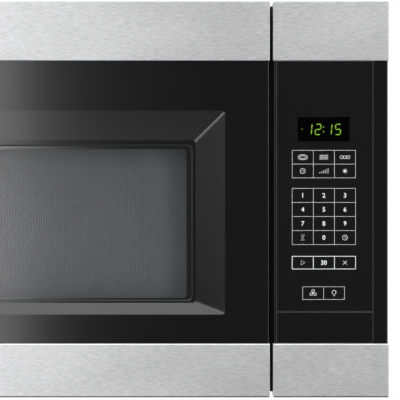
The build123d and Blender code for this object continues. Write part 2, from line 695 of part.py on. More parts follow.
# Double-ended shaft with a forward-curved wheel at each end: two end rings, a middle disc on its
# hub and the blades between them
blower_blades, blade_chord, blade_gauge, blade_angle = 24, 6.2, 1.2, 38.0
ring_gauge, ring_width, blade_circle = 2.0, 6.5, wheel_radius - 3.2
wheel_inset, shaft_inset, wheel_hub, wheel_hub_length = 6.0, 10.0, 8.0, 18.0
with BuildPart() as blower_wheels:
    for start in (-blower_offset - scroll_length + wheel_inset, blower_offset + wheel_inset):
        middle = start + wheel_length / 2
        for place, inside, length in ((start, wheel_radius - ring_width, ring_gauge),
                                      (start + wheel_length - ring_gauge, wheel_radius - ring_width, ring_gauge),
                                      (middle - ring_gauge / 2, shaft_radius, ring_gauge)):
            with BuildSketch(upright(place)):
                with Locations((-blower_depth, blower_z)):
                    Circle(wheel_radius)
                    Circle(inside, mode=Mode.SUBTRACT)
            extrude(amount=length)
        with BuildSketch(upright(middle - wheel_hub_length / 2)):
            with Locations((-blower_depth, blower_z)):
                Circle(wheel_hub)
                Circle(shaft_radius, mode=Mode.SUBTRACT)
        extrude(amount=wheel_hub_length)
        with BuildSketch(upright(start)):
            with Locations((-blower_depth, blower_z)):
                with PolarLocations(blade_circle, blower_blades):
                    Rectangle(blade_chord, blade_gauge, rotation=blade_angle)
        extrude(amount=wheel_length)
    with BuildSketch(upright(-blower_offset - scroll_length + shaft_inset)):
        with Locations((-blower_depth, blower_z)):
            Circle(shaft_radius)
    extrude(amount=2 * (blower_offset + scroll_length - shaft_inset))
save(blower_wheels.part, "blower_wheels")

# Damper frame in the exhaust opening: duct collar with its flange, floor round the two outlets,
# and the ledge that stops the flap
flap_drop, flap_inset, flap_sheet, flap_pin = 8.0, 4.0, 1.0, 1.5
flap_z, flap_rear = case_top - flap_drop, duct_rear + flap_inset
flap_stop, stop_height, flange_corner = 3.0, 2.0, 3.0
with BuildPart() as damper_frame:
    with BuildSketch(level(scroll_top)):
        footprint(-duct_width / 2 - duct_wall, duct_width / 2 + duct_wall,
                  duct_rear - duct_wall, duct_front + duct_wall)
        footprint(-duct_width / 2, duct_width / 2, duct_rear, duct_front, 0.0, Mode.SUBTRACT)
    extrude(amount=case_top - scroll_top)
    with BuildSketch(level(case_top)):
        footprint(-duct_width / 2 - duct_flange, duct_width / 2 + duct_flange,
                  duct_rear - duct_flange, duct_front + duct_flange, flange_corner)
        footprint(-duct_width / 2, duct_width / 2, duct_rear, duct_front, 0.0, Mode.SUBTRACT)
    extrude(amount=duct_wall)
    with BuildSketch(level(scroll_top)):
        footprint(-duct_width / 2, duct_width / 2, duct_rear, duct_front)
        for start in (-blower_offset - scroll_length, blower_offset):
            footprint(start + scroll_wall, start + scroll_length - scroll_wall,
                      -tongue_y + scroll_wall, duct_front - scroll_wall, 0.0, Mode.SUBTRACT)
    extrude(amount=scroll_wall)
    with BuildSketch(level(flap_z - flap_sheet / 2 - seat)):
        footprint(-duct_width / 2, duct_width / 2, duct_front - flap_stop, duct_front)
    extrude(amount=-stop_height)
    with BuildSketch(upright(-duct_width / 2 - duct_wall)):
        with Locations((-flap_rear, flap_z)):
            Circle(flap_pin + running)
    extrude(amount=duct_width + 2 * duct_wall, mode=Mode.SUBTRACT)
save(damper_frame.part, "damper_frame")

# Back-draught flap on its pin
flap_side_gap, flap_front_gap, pin_recess = 1.0, 0.5, 0.4
with BuildPart() as damper_flap:
    with BuildSketch(level(flap_z - flap_sheet / 2)):
        footprint(-duct_width / 2 + flap_side_gap, duct_width / 2 - flap_side_gap, flap_rear,
                  duct_front - flap_front_gap)
    extrude(amount=flap_sheet)
    with BuildSketch(upright(-duct_width / 2 - duct_wall + pin_recess)):
        with Locations((-flap_rear, flap_z)):
            Circle(flap_pin)
    extrude(amount=duct_width + 2 * (duct_wall - pin_recess))
save(damper_flap.part, "damper_flap")

# Vent grille along the top edge, with its row of slots
grille_sheet, grille_skirt, grille_lap, skirt_wall, grille_corner = 1.5, 8.0, 2.0, 1.7, 1.5
slot_spacing, slot_width, slot_length, slot_margin = 13.5, 7.0, 20.0, 8.0
with BuildPart() as vent_grille:
    with BuildSketch(level(case_top)):
        footprint(grille_left - grille_lap, grille_right + grille_lap, grille_rear - grille_lap,
                  grille_front + grille_lap, grille_corner)
    extrude(amount=grille_sheet)
    with BuildSketch(level(case_top)):
        footprint(grille_left + seat, grille_right - seat, grille_rear + seat, grille_front - seat)
        skirt = seat + skirt_wall
        footprint(grille_left + skirt, grille_right - skirt, grille_rear + skirt, grille_front - skirt, 0.0,
                  Mode.SUBTRACT)
    extrude(amount=-grille_skirt)
    with BuildSketch(level(case_top + grille_sheet)):
        slot_count = int((grille_right - grille_left - 2 * slot_margin) / slot_spacing)
        with Locations(((grille_left + grille_right) / 2, -(grille_rear + grille_front) / 2)):
            with GridLocations(slot_spacing, 1, slot_count, 1):
                SlotOverall(slot_length, slot_width, rotation=90)
    extrude(amount=-grille_sheet, mode=Mode.SUBTRACT)
save(vent_grille.part, "vent_grille")

# Charcoal filter behind the grille, framed on both faces
carbon_left, carbon_right, carbon_depth, carbon_thickness = -330.0, -60.0, 296.0, 12.0
carbon_frame, carbon_recess, carbon_corner, carbon_headroom = 8.0, 2.0, 3.0, 6.0
carbon_low, carbon_high = cavity_roof + 2 * sheet, roof - carbon_headroom
with BuildPart() as charcoal_filter:
    with BuildSketch(facing(carbon_depth)):
        area(carbon_left, carbon_right, carbon_low, carbon_high, carbon_corner)
    extrude(amount=carbon_thickness)
    for depth, inward in ((carbon_depth, carbon_recess), (carbon_depth + carbon_thickness, -carbon_recess)):
        with BuildSketch(facing(depth)):
            area(carbon_left + carbon_frame, carbon_right - carbon_frame, carbon_low + carbon_frame,
                 carbon_high - carbon_frame)
        extrude(amount=inward, mode=Mode.SUBTRACT)
save(charcoal_filter.part, "charcoal_filter")

# Rail on the cavity roof that the charcoal filter stands in
rail_lap, rail_end, rail_lip = 8.0, 20.0, 10.0
with BuildPart() as filter_rail:
    with BuildSketch(upright(carbon_left - rail_end)):
        carbon_front = carbon_depth + carbon_thickness
        area(-carbon_front - rail_lap, -carbon_depth + rail_lap, cavity_roof + sheet, carbon_low)
        area(-carbon_front - seat - sheet, -carbon_front - seat, carbon_low, carbon_low + rail_lip)
        area(-carbon_depth + seat, -carbon_depth + seat + sheet, carbon_low, carbon_low + rail_lip)
    extrude(amount=carbon_right - carbon_left + 2 * rail_end)
save(filter_rail.part, "filter_rail")

# Grease filters: frame, mesh and pull tab, dropped out downwards
filter_frame, mesh_lap, mesh_sheet = 8.0, 1.0, 1.6
mesh_spacing_x, mesh_spacing_y, mesh_count, mesh_strand = 20.0, 16.0, 8, 5.0
tab_length, tab_width, tab_inset, tab_strap = 26.0, 10.0, 14.0, 2.5
with BuildPart() as grease_filter_right:
    with BuildSketch(level(case_bottom)):
        with Locations(filter_places[1]):
            RectangleRounded(filter_width, filter_depth, 3.0)
            Rectangle(filter_width - 2 * filter_frame, filter_depth - 2 * filter_frame, mode=Mode.SUBTRACT)
    extrude(amount=filter_thickness)
    with BuildSketch(level(case_bottom + (filter_thickness - mesh_sheet) / 2)):
        with Locations(filter_places[1]):
            Rectangle(filter_width - 2 * (filter_frame - mesh_lap), filter_depth - 2 * (filter_frame - mesh_lap))
            with GridLocations(mesh_spacing_x, mesh_spacing_y, mesh_count, mesh_count):
                Rectangle(mesh_spacing_x - mesh_strand, mesh_spacing_y - mesh_strand, mode=Mode.SUBTRACT)
    extrude(amount=mesh_sheet)
    with BuildSketch(level(case_bottom)):
        with Locations((filter_places[1][0], filter_places[1][1] - filter_depth / 2 + tab_inset)):
            SlotOverall(tab_length, tab_width)
            SlotOverall(tab_length - 2 * tab_strap, tab_width - 2 * tab_strap, mode=Mode.SUBTRACT)
    extrude(amount=filter_thickness / 2)
save(grease_filter_right.part, "grease_filter_right")

with BuildPart() as grease_filter_left:
    add(grease_filter_right.part.moved(Location((-filter_spacing, 0, 0))))
save(grease_filter_left.part, "grease_filter_left")

# ================================================================== lamps
# Hinged cover of the cooktop lamp: a frame with the hinge barrel along its rear edge
cover_frame, cover_ledge, lens_lap, lens_sheet = 6.0, 7.0, 3.0, 2.0
with BuildPart() as lamp_cover:
    with BuildSketch(level(case_bottom)):
        footprint(lamp_left, lamp_right, cover_axis - cover_barrel, cover_front, 1.0)
        footprint(lamp_left + cover_frame, lamp_right - cover_frame, cover_axis + cover_ledge,
                  cover_front - cover_frame, 1.0, Mode.SUBTRACT)
    extrude(amount=sheet)
    with BuildSketch(upright(lamp_left)):
        with Locations((-cover_axis, cover_hinge_z)):
            Circle(cover_barrel)
        area(-cover_axis - cover_barrel, -cover_axis + cover_barrel, case_bottom, cover_hinge_z)
        with Locations((-cover_axis, cover_hinge_z)):
            Circle(cover_pin + running, mode=Mode.SUBTRACT)
    extrude(amount=lamp_width)
save(lamp_cover.part, "lamp_cover")

# Lens lying on the cover's frame
with BuildPart() as lamp_lens:
    with BuildSketch(level(case_bottom + sheet)):
        footprint(lamp_left + lens_lap, lamp_right - lens_lap, cover_axis + cover_ledge - lens_lap,
                  cover_front - lens_lap)
    extrude(amount=lens_sheet)
save(lamp_lens.part, "lamp_lens")

# Cooktop lamp: block, socket, and a bulb lofted from its neck into a sphere
socket_gap, block_length, block_half, block_headroom, bulb_rise = 6.0, 26.0, 18.0, 16.0, 24.0
socket_radius, socket_length, neck_length, neck_wide, bulb_radius, bulb_reach = 8.0, 12.0, 16.0, 12.6, 14.0, 34.0
socket_end, bulb_z = lamp_left - socket_gap, floor + bulb_rise
with BuildPart() as cooktop_lamp:
    with BuildSketch(upright(socket_end - block_length)):
        area(-lamp_depth - block_half, -lamp_depth + block_half, floor, bulb_z + block_headroom, 2.0)
    extrude(amount=block_length)
    with BuildSketch(upright(socket_end)):
        with Locations((-lamp_depth, bulb_z)):
            Circle(socket_radius)
    extrude(amount=socket_length)
    for start, radius in ((socket_length, socket_radius), (socket_length + neck_length, neck_wide)):
        with BuildSketch(upright(socket_end + start)):
            with Locations((-lamp_depth, bulb_z)):
                Circle(radius)
    loft()
    with Locations((socket_end + bulb_reach, -lamp_depth, bulb_z)):
        Sphere(bulb_radius)
save(cooktop_lamp.part, "cooktop_lamp")

# Oven lamp: housing on the cavity roof, its lid, and the bulb hanging from the lid
house_wide, house_deep, house_wall, house_height, house_lid, house_corner = 48.0, 42.0, 4.0, 34.0, 8.0, 3.0
cap_out, cap_drop, bulb_out, bulb_widest, bulb_length = 6.0, 10.0, 10.0, 20.0, 30.0
neck_out, neck_drop = 8.0, 14.0
bulb_top = cavity_roof + sheet + house_height
with BuildPart() as cavity_lamp:
    with BuildSketch(level(cavity_roof + sheet)):
        with Locations((cavity_lamp_x, -cavity_lamp_depth)):
            RectangleRounded(house_wide, house_deep, house_corner)
            Rectangle(house_wide - 2 * house_wall, house_deep - 2 * house_wall, mode=Mode.SUBTRACT)
    extrude(amount=house_height)
    with BuildSketch(level(bulb_top)):
        with Locations((cavity_lamp_x, -cavity_lamp_depth)):
            RectangleRounded(house_wide, house_deep, house_corner)
    extrude(amount=house_lid)
    with BuildSketch(facing(cavity_lamp_depth)):
        shoulder = (cavity_lamp_x + neck_out, bulb_top - neck_drop)
        tip = (cavity_lamp_x, bulb_top - bulb_length)
        with BuildLine():
            Polyline((cavity_lamp_x, bulb_top), (cavity_lamp_x + cap_out, bulb_top),
                     (cavity_lamp_x + cap_out, bulb_top - cap_drop), shoulder)
            ThreePointArc(shoulder, (cavity_lamp_x + bulb_out, bulb_top - bulb_widest), tip)
            Line(tip, (cavity_lamp_x, bulb_top))
        make_face()
    revolve(axis=Axis((cavity_lamp_x, -cavity_lamp_depth, 0), (0, 0, 1)))
save(cavity_lamp.part, "cavity_lamp")

# ================================================================== turntable
# Gear motor under the cavity floor, on its strap
gear_radius, gear_height, strap_length, strap_across, drive_bore = 25.0, 18.0, 70.0, 14.0, 10.0
motor_low = cavity_floor - sheet - gear_height
with BuildPart() as turntable_motor:
    with BuildSketch(level(motor_low)):
        with Locations((cavity_x, -turn_depth)):
            Circle(gear_radius)
    extrude(amount=gear_height)
    with BuildSketch(level(cavity_floor - sheet)):
        with Locations((cavity_x, -turn_depth)):
            SlotOverall(strap_length, strap_across)
    extrude(amount=-sheet)
    with BuildSketch(level(cavity_floor - sheet)):
        with Locations((cavity_x, -turn_depth)):
            Circle(drive_radius + running)
    extrude(amount=-drive_bore, mode=Mode.SUBTRACT)
save(turntable_motor.part, "turntable_motor")

# Motor shaft with the three-lobed driver that the tray sits on
tray_low = cavity_floor + 2 * roller_radius + seat
axle_z = cavity_floor + roller_radius
hub_lift, hub_headroom, hub_core, lobe_length, lobe_width = 3.0, 0.8, 9.0, 22.0, 8.0
hub_low, hub_high = cavity_floor + hub_lift, tray_low - hub_headroom
shaft_end = 1.0
with BuildPart() as tray_driver:
    with BuildSketch(level(hub_low)):
        with Locations((cavity_x, -turn_depth)):
            Circle(hub_core)
            with PolarLocations(lobe_width, 3):
                SlotOverall(lobe_length, lobe_width)
    extrude(amount=hub_high - hub_low)
    with BuildSketch(level(hub_low)):
        with Locations((cavity_x, -turn_depth)):
            Circle(drive_radius)
    extrude(amount=cavity_floor - sheet - drive_bore + shaft_end - hub_low)
save(tray_driver.part, "tray_driver")


def roller_plane(number, radius):
    """A plane across one of the three axles, at this distance from the turning axis."""
    turn = radians(120.0 * number + 90.0)
    return Plane((cavity_x + radius * cos(turn), -turn_depth + radius * sin(turn), axle_z),
                 x_dir=(-sin(turn), cos(turn), 0), z_dir=(cos(turn), sin(turn), 0))


# Roller ring with three axle arms
ring_inner, ring_outer, ring_height, axle_root, axle_end = 78.0, 84.0, 5.0, 1.0, 2.5
with BuildPart() as roller_ring:
    with BuildSketch(level(axle_z - ring_height / 2)):
        with Locations((cavity_x, -turn_depth)):
            Circle(ring_outer)
            Circle(ring_inner, mode=Mode.SUBTRACT)
    extrude(amount=ring_height)
    for number in range(3):
        with BuildSketch(roller_plane(number, ring_outer - axle_root)):
            Circle(axle_radius)
        extrude(amount=roller_circle + roller_width / 2 + axle_root + axle_end - ring_outer)
save(roller_ring.part, "roller_ring")

# The three rollers
for number, label in enumerate(("roller_rear", "roller_left", "roller_right")):
    with BuildPart() as roller:
        with BuildSketch(roller_plane(number, roller_circle - roller_width / 2)):
            Circle(roller_radius)
            Circle(axle_radius + running, mode=Mode.SUBTRACT)
        extrude(amount=roller_width)
        fillet(roller.edges().filter_by(GeomType.CIRCLE).group_by(SortBy.RADIUS)[-1], 1.0)
    save(roller.part, label)

# Glass tray with a raised rim
rim_inset, rim_bend, bend_rise = 26.0, 9.0, 3.5
rim_glass, inner_bend, inner_rise = 5.0, 12.0, 7.5
with BuildPart() as glass_tray:
    with BuildSketch(facing(turn_depth)):
        edge = cavity_x + tray_radius
        under, over = (edge - rim_inset, tray_low), (edge - rim_inset, tray_low + tray_glass)
        rim, rim_inside = (edge, tray_low + tray_rim), (edge - rim_glass, tray_low + tray_rim)
        with BuildLine():
            Line((cavity_x, tray_low), under)
            ThreePointArc(under, (edge - rim_bend, tray_low + bend_rise), rim)
            Line(rim, rim_inside)
            ThreePointArc(rim_inside, (edge - inner_bend, tray_low + inner_rise), over)
            Polyline(over, (cavity_x, tray_low + tray_glass), (cavity_x, tray_low))
        make_face()
    revolve(axis=Axis((cavity_x, -turn_depth, 0), (0, 0, 1)))
save(glass_tray.part, "glass_tray")

# ================================================================== door
door_low, door_high = bottom + band_sheet, top - band_sheet
door_in_left, door_in_right = left + band_sheet, door_right - band_sheet
boss_places = [(x, z) for x in (land_left - choke_width / 2, cavity_x, land_right + choke_width / 2)
               for z in (land_low - choke_width / 2, land_high + choke_width / 2)]
bush_radius = pin_radius + running + bush_wall
block_high, block_back, block_side = hinge_reach - 1.0, 7.0, 6.0
block_low = block_high - pin_length - 1.0
tongue_room, tongue_slot_back, tongue_slot_side = 1.0, 8.0, 20.0
pocket_x, pocket_width, pocket_height, pocket_depth, pocket_setback = 150.0, 120.0, 20.0, 16.0, 4.0
pocket_rear = door_back + pocket_setback
pocket_front = pocket_rear + pocket_depth
back_round, skirt_round = plastic - 0.5, 1.0

# Moulded front with the mitred window recess and its rim, the skirt round it, screw bosses,
# hinge blocks and the finger pocket in the lower edge
with BuildPart() as door_panel:
    with BuildSketch(facing(door_back)):
        area(door_in_left, door_in_right, door_low, door_high, band_corner)
    extrude(amount=face - door_back)
    back_edges = door_panel.faces().sort_by(Axis.Y)[-1].edges()
    fillet(back_edges.filter_by(Axis.Z).sort_by(Axis.X)[0], back_round)
    fillet(door_panel.faces().sort_by(Axis.Y)[0].edges(), skirt_round)
    with BuildSketch(facing(door_back)):
        area(door_in_left + plastic, door_in_right - plastic, door_low + plastic, door_high - plastic, band_corner)
    extrude(amount=face - plastic - door_back, mode=Mode.SUBTRACT)
    for setback, mode in ((plastic, Mode.ADD), (0.0, Mode.SUBTRACT)):
        with BuildSketch(facing(face - setback)):
            area(window_left, window_right, window_low, window_high, recess_corner)
        with BuildSketch(facing(face - setback - recess_depth)):
            area(rim_left, rim_right, rim_low, rim_high, recess_corner)
        loft(ruled=True, mode=mode)
    with BuildSketch(facing(face - recess_depth)):
        area(pane_left, pane_right, pane_low, pane_high, recess_corner)
    extrude(amount=-2 * plastic, mode=Mode.SUBTRACT)
    rim_y = -(face - recess_depth)
    rim_edges = door_panel.edges().filter_by_position(Axis.Y, rim_y - running, rim_y + running)
    rim_edges = rim_edges.filter_by_position(Axis.X, pane_left - running, pane_right + running)
    fillet(rim_edges.filter_by_position(Axis.Z, pane_low - running, pane_high + running), rim_round)
    with BuildSketch(facing(chassis_front)):
        with Locations(*boss_places):
            Circle(boss_radius)
    extrude(amount=face - plastic - chassis_front)
    with BuildSketch(facing(chassis_front)):
        with Locations(*boss_places):
            Circle(screw_radius)
    extrude(amount=face - plastic - chassis_front, mode=Mode.SUBTRACT)
    for side in (1, -1):
        with BuildSketch(facing(hinge_depth - block_back)):
            area(door_in_left + plastic, hinge_x + block_side, *sorted((side * block_high, side * block_low)))
        extrude(amount=face - plastic - hinge_depth + block_back)
        with BuildSketch(level(side * block_high)):
            with Locations((hinge_x, -hinge_depth)):
                Circle(bush_radius)
        extrude(amount=side * (block_low - block_high), mode=Mode.SUBTRACT)
        with BuildSketch(facing(door_back)):
            with Locations((door_in_left, side * (hinge_reach + hinge_sheet / 2))):
                Rectangle(2 * tongue_slot_side, hinge_sheet + 2 * tongue_room)
        extrude(amount=hinge_setback + tongue_slot_back, mode=Mode.SUBTRACT)
    with BuildSketch(level(door_low)):
        footprint(pocket_x - pocket_width / 2 - plastic, pocket_x + pocket_width / 2 + plastic,
                  pocket_rear - plastic, pocket_front + plastic, 4.0)
    extrude(amount=pocket_height + plastic)
    with BuildSketch(level(door_low)):
        footprint(pocket_x - pocket_width / 2, pocket_x + pocket_width / 2, pocket_rear, pocket_front, 3.0)
    extrude(amount=pocket_height, mode=Mode.SUBTRACT)
save(door_panel.part, "door_panel")


def band(low, high, under, over, upper):
    """Stainless sheet over the front, the sides and the outer edge of a moulding."""
    with BuildPart() as wrap:
        with BuildSketch(facing(front - band_wrap)):
            area(low, high, under, over)
        extrude(amount=band_wrap)
        ends = wrap.edges().filter_by(Axis.Y)
        outer = ends.group_by(Axis.Z)[-1 if upper else 0]
        fillet(outer, band_corner)
        fillet(wrap.faces().sort_by(Axis.Y)[0].edges(), band_sheet * 0.9)
        with BuildSketch(facing(front - band_wrap)):
            area(low + band_sheet, high - band_sheet,
                 under if upper else under + band_sheet, over - band_sheet if upper else over)
        extrude(amount=band_wrap - band_sheet, mode=Mode.SUBTRACT)
    return wrap.part


# Stainless bands of the door
save(band(left, door_right, top - band_top, top, True), "door_top_band")
save(band(left, door_right, bottom, bottom + band_bottom, False), "door_bottom_band")

# Tinted pane behind the rim
with BuildPart() as window_pane:
    with BuildSketch(facing(pane_back)):
        area(pane_left - pane_lap, pane_right + pane_lap, pane_low - pane_lap, pane_high + pane_lap, 2.0)
    extrude(amount=pane_thickness)
save(window_pane.part, "window_pane")

# Steel chassis of the door: sealing plate, the choke channel with its comb, the pair of guides
# that the latch bar slides on, and the bracket over its spring
view_margin, screen_lap = 4.0, 8.0
choke_outside = land_right + choke_width
choke_open, comb_margin = 3.0, 6.0
screw_hole = screw_radius + 0.3
bar_setback = 5.0
bar_rear = door_back + bar_setback
bar_front, bar_left = bar_rear + latch_bar, latch_x - latch_thickness / 2
bar_middle, bar_end = (bar_rear + bar_front) / 2, 22.0
guide_pin, guide_head, guide_offset, guide_length = 2.0, 3.6, 40.0, 20.0
guide_heights = (hook_upper - guide_offset, hook_lower + guide_offset)
spring_radius, spring_wire, spring_facets, spring_length, spring_turns = 2.6, 0.4, 6, 22.0, 7
spring_low = hook_upper + bar_end
spring_high = spring_low + spring_length
bracket_sheet = 1.5
with BuildPart() as door_chassis:
    with BuildSketch(facing(chassis_back)):
        area(land_left, land_right, land_low, land_high, cavity_corner)
        area(pane_left - view_margin, pane_right + view_margin, pane_low - view_margin, pane_high + view_margin,
             recess_corner, Mode.SUBTRACT)
    extrude(amount=sheet)
    with BuildSketch(facing(chassis_back)):
        area(land_left, land_right, land_low, land_high, cavity_corner)
        area(land_left + sheet, land_right - sheet, land_low + sheet, land_high - sheet, cavity_corner - sheet,
             Mode.SUBTRACT)
    extrude(amount=chassis_front - chassis_back)
    with BuildSketch(facing(chassis_front - sheet)):
        area(land_left - choke_width, land_right + choke_width, land_low - choke_width, land_high + choke_width,
             cavity_corner)
        area(land_left + sheet, land_right - sheet, land_low + sheet, land_high - sheet, cavity_corner - sheet,
             Mode.SUBTRACT)
        with Locations(*boss_places):
            Circle(screw_hole, mode=Mode.SUBTRACT)
    extrude(amount=sheet)
    with BuildSketch(facing(chassis_back + choke_open)):
        area(land_left - choke_width, land_right + choke_width, land_low - choke_width, land_high + choke_width,
             cavity_corner)
        area(land_left - choke_width + sheet, land_right + choke_width - sheet, land_low - choke_width + sheet,
             land_high + choke_width - sheet, cavity_corner - sheet, Mode.SUBTRACT)
    extrude(amount=chassis_front - chassis_back - choke_open)
    comb_wide = int((land_right - land_left) / comb_pitch)
    comb_tall = int((land_high - land_low) / comb_pitch)
    comb_reach = choke_depth - comb_margin
    comb_depth = chassis_back + choke_open + comb_reach / 2
    for z in (land_low - choke_width, land_high + choke_width - sheet):
        with BuildSketch(level(z)):
            with Locations((cavity_x, -comb_depth)), GridLocations(comb_pitch, 1, comb_wide, 1):
                Rectangle(comb_slot, comb_reach)
        extrude(amount=sheet, mode=Mode.SUBTRACT)
    for x in (land_left - choke_width, land_right + choke_width - sheet):
        with BuildSketch(upright(x)):
            with Locations((-comb_depth, (land_low + land_high) / 2)), GridLocations(1, comb_pitch, 1, comb_tall):
                Rectangle(comb_reach, comb_slot)
        extrude(amount=sheet, mode=Mode.SUBTRACT)
    for guide in guide_heights:
        with BuildSketch(level(guide - guide_length / 2)):
            footprint(choke_outside, choke_outside + sheet, bar_middle, bar_front + latch_bar)
            footprint(choke_outside, bar_left - seat, bar_front - sheet, bar_front)
            footprint(bar_left - seat - sheet, bar_left - seat, bar_rear, bar_front)
        extrude(amount=guide_length)
        with BuildSketch(upright(bar_left - seat)):
            with Locations((-bar_middle, guide)):
                Circle(guide_pin)
        extrude(amount=latch_thickness + 2 * seat)
        with BuildSketch(upright(bar_left + latch_thickness + seat)):
            with Locations((-bar_middle, guide)):
                Circle(guide_head)
        extrude(amount=bracket_sheet)
    with BuildSketch(level(spring_high)):
        footprint(choke_outside, latch_x + spring_radius + sheet, bar_middle - spring_radius - sheet,
                  bar_middle + spring_radius + sheet)
    extrude(amount=bracket_sheet)
save(door_chassis.part, "door_chassis")

# Perforated screen across the window, and the clear film on the oven side
screen_left, screen_right = pane_left - view_margin - screen_lap, pane_right + view_margin + screen_lap
screen_low, screen_high = pane_low - view_margin - screen_lap, pane_high + view_margin + screen_lap
with BuildPart() as perforated_screen:
    with BuildSketch(facing(chassis_back + sheet)):
        area(screen_left, screen_right, screen_low, screen_high)
    extrude(amount=screen_sheet)
save(perforated_screen.part, "perforated_screen")

with BuildPart() as inner_film:
    with BuildSketch(facing(chassis_back - film)):
        area(screen_left, screen_right, screen_low, screen_high, 3.0)
    extrude(amount=film)
save(inner_film.part, "inner_film")

# Moulded cover over the choke and the back of the door
cover_sheet, cover_setback = 2.0, 0.5
hinge_notch_side, hinge_notch_shift, hinge_notch_height = hinge_inset + 12.0, 6.0, 42.0
bar_room, bar_room_low, bar_room_high, pocket_room = 1.5, 4.0, 1.0, 1.0
with BuildPart() as choke_cover:
    with BuildSketch(facing(door_back + cover_setback)):
        area(door_in_left + plastic + seat, door_in_right - plastic - seat, door_low + plastic + seat,
             door_high - plastic - seat, band_corner)
        area(land_left - seat, land_right + seat, land_low - seat, land_high + seat, cavity_corner + seat,
             Mode.SUBTRACT)
        for side in (1, -1):
            with Locations((door_in_left, side * (hinge_reach + hinge_notch_shift))):
                Rectangle(2 * hinge_notch_side, hinge_notch_height, mode=Mode.SUBTRACT)
        for hook in (hook_upper, hook_lower):
            area(latch_x - latch_thickness / 2 - bar_room, latch_x + latch_thickness / 2 + bar_room,
                 hook - hook_height / 2 - bar_room_low, hook + hook_height / 2 + latch_travel + bar_room_high, 1.0,
                 Mode.SUBTRACT)
        area(pocket_x - pocket_width / 2 - plastic - pocket_room, pocket_x + pocket_width / 2 + plastic + pocket_room,
             door_low, door_low + pocket_height + plastic + pocket_room, 0.0, Mode.SUBTRACT)
    extrude(amount=cover_sheet)
save(choke_cover.part, "choke_cover")

# Screws that hold the chassis to the front moulding, inside the choke
screw_bite = 8.0
with BuildPart() as door_screws:
    with BuildSketch(facing(chassis_front - sheet - screw_head_height)):
        with Locations(*boss_places):
            Circle(screw_head)
    extrude(amount=screw_head_height)
    with BuildSketch(facing(chassis_front - sheet)):
        with Locations(*boss_places):
            Circle(screw_radius)
    extrude(amount=sheet + screw_bite)
save(door_screws.part, "door_screws")

# Two hinges: a plate behind the front frame and a tongue that carries the pin
hinge_back = case_front - hinge_plate
plate_side, plate_drop, plate_corner = 22.0, 32.0, 2.0
with BuildPart() as door_hinges:
    with BuildSketch(level(hinge_reach)):
        with Locations((hinge_x, -hinge_depth)):
            Circle(hinge_radius)
        footprint(hinge_x - hinge_radius, hinge_x + hinge_radius, hinge_back, hinge_depth)
    extrude(amount=hinge_sheet)
    with BuildSketch(facing(hinge_back)):
        area(hinge_x - hinge_radius, hinge_x + plate_side, hinge_reach - plate_drop, hinge_reach + hinge_sheet,
             plate_corner)
        with Locations(*((hinge_screw_x, z) for z in hinge_screw_heights)):
            Circle(screw_radius, mode=Mode.SUBTRACT)
    extrude(amount=hinge_plate)
    with BuildSketch(level(hinge_reach)):
        with Locations((hinge_x, -hinge_depth)):
            Circle(pin_radius)
    extrude(amount=-pin_length)
    mirror(about=Plane.XY)
save(door_hinges.part, "door_hinges")

# Flanged bushes in the hinge blocks
bush_flange = 0.7
with BuildPart() as hinge_bushes:
    for radius, length in ((bush_radius, -bush_length), (bush_radius + bush_flange, hinge_reach - block_high - seat)):
        with BuildSketch(level(block_high)):
            with Locations((hinge_x, -hinge_depth)):
                Circle(radius)
                Circle(pin_radius + running, mode=Mode.SUBTRACT)
        extrude(amount=length)
    mirror(about=Plane.XY)
save(hinge_bushes.part, "hinge_bushes")

# Four screws through the front frame into the hinge plates
thread_clear, low_head = 0.02, 1.2
with BuildPart() as hinge_screws:
    places = [(hinge_screw_x, side * z) for side in (1, -1) for z in hinge_screw_heights]
    for depth, radius, length in ((hinge_back, screw_radius - thread_clear, hinge_plate + sheet),
                                  (case_depth, screw_head, low_head)):
        with BuildSketch(facing(depth)):
            with Locations(*places):
                Circle(radius)
        extrude(amount=length)
save(hinge_screws.part, "hinge_screws")

# Latch bar with its two hooks, the slots that ride on the guide pins, and the peg in its spring
nose_length, nose_drop, nose_lead, hook_flare = 6.0, 3.0, 1.0, 3.0
guide_slack, peg_radius, peg_length = 0.3, 1.6, 8.0
with BuildPart() as latch_bar_part:
    with BuildSketch(upright(bar_left)):
        area(-bar_front, -bar_rear, hook_lower - bar_end, hook_upper + bar_end, 1.5)
        for hook in (hook_upper, hook_lower):
            under, over = hook - hook_height / 2, hook + hook_height / 2
            with BuildLine():
                Polyline((-bar_rear - 2.0, under - hook_flare), (-bar_rear, under), (-hook_end - nose_length, under),
                         (-hook_end - nose_length, under - nose_drop), (-hook_end, under + nose_lead),
                         (-hook_end, hook + nose_lead), (-bar_rear, over), (-bar_rear - 2.0, over + hook_flare),
                         close=True)
            make_face()
        for guide in guide_heights:
            with Locations((-bar_middle, guide - latch_travel / 2)):
                SlotOverall(latch_travel + 2 * (guide_pin + guide_slack), 2 * guide_pin + guide_slack, rotation=90,
                            mode=Mode.SUBTRACT)
    extrude(amount=latch_thickness)
    with BuildSketch(level(spring_low)):
        with Locations((latch_x, -bar_middle)):
            Circle(peg_radius)
    extrude(amount=peg_length)
save(latch_bar_part.part, "latch_bar")

# Return spring between the latch bar and its bracket
with BuildPart() as latch_spring:
    with BuildLine() as coil:
        Helix(pitch=(spring_length - 2 * spring_wire) / spring_turns, height=spring_length - 2 * spring_wire,
              radius=spring_radius, center=(latch_x, -bar_middle, spring_low + spring_wire))
    with BuildSketch(Plane(coil.line @ 0, z_dir=coil.line % 0)):
        RegularPolygon(spring_wire, spring_facets)
    sweep()
save(latch_spring.part, "latch_spring")

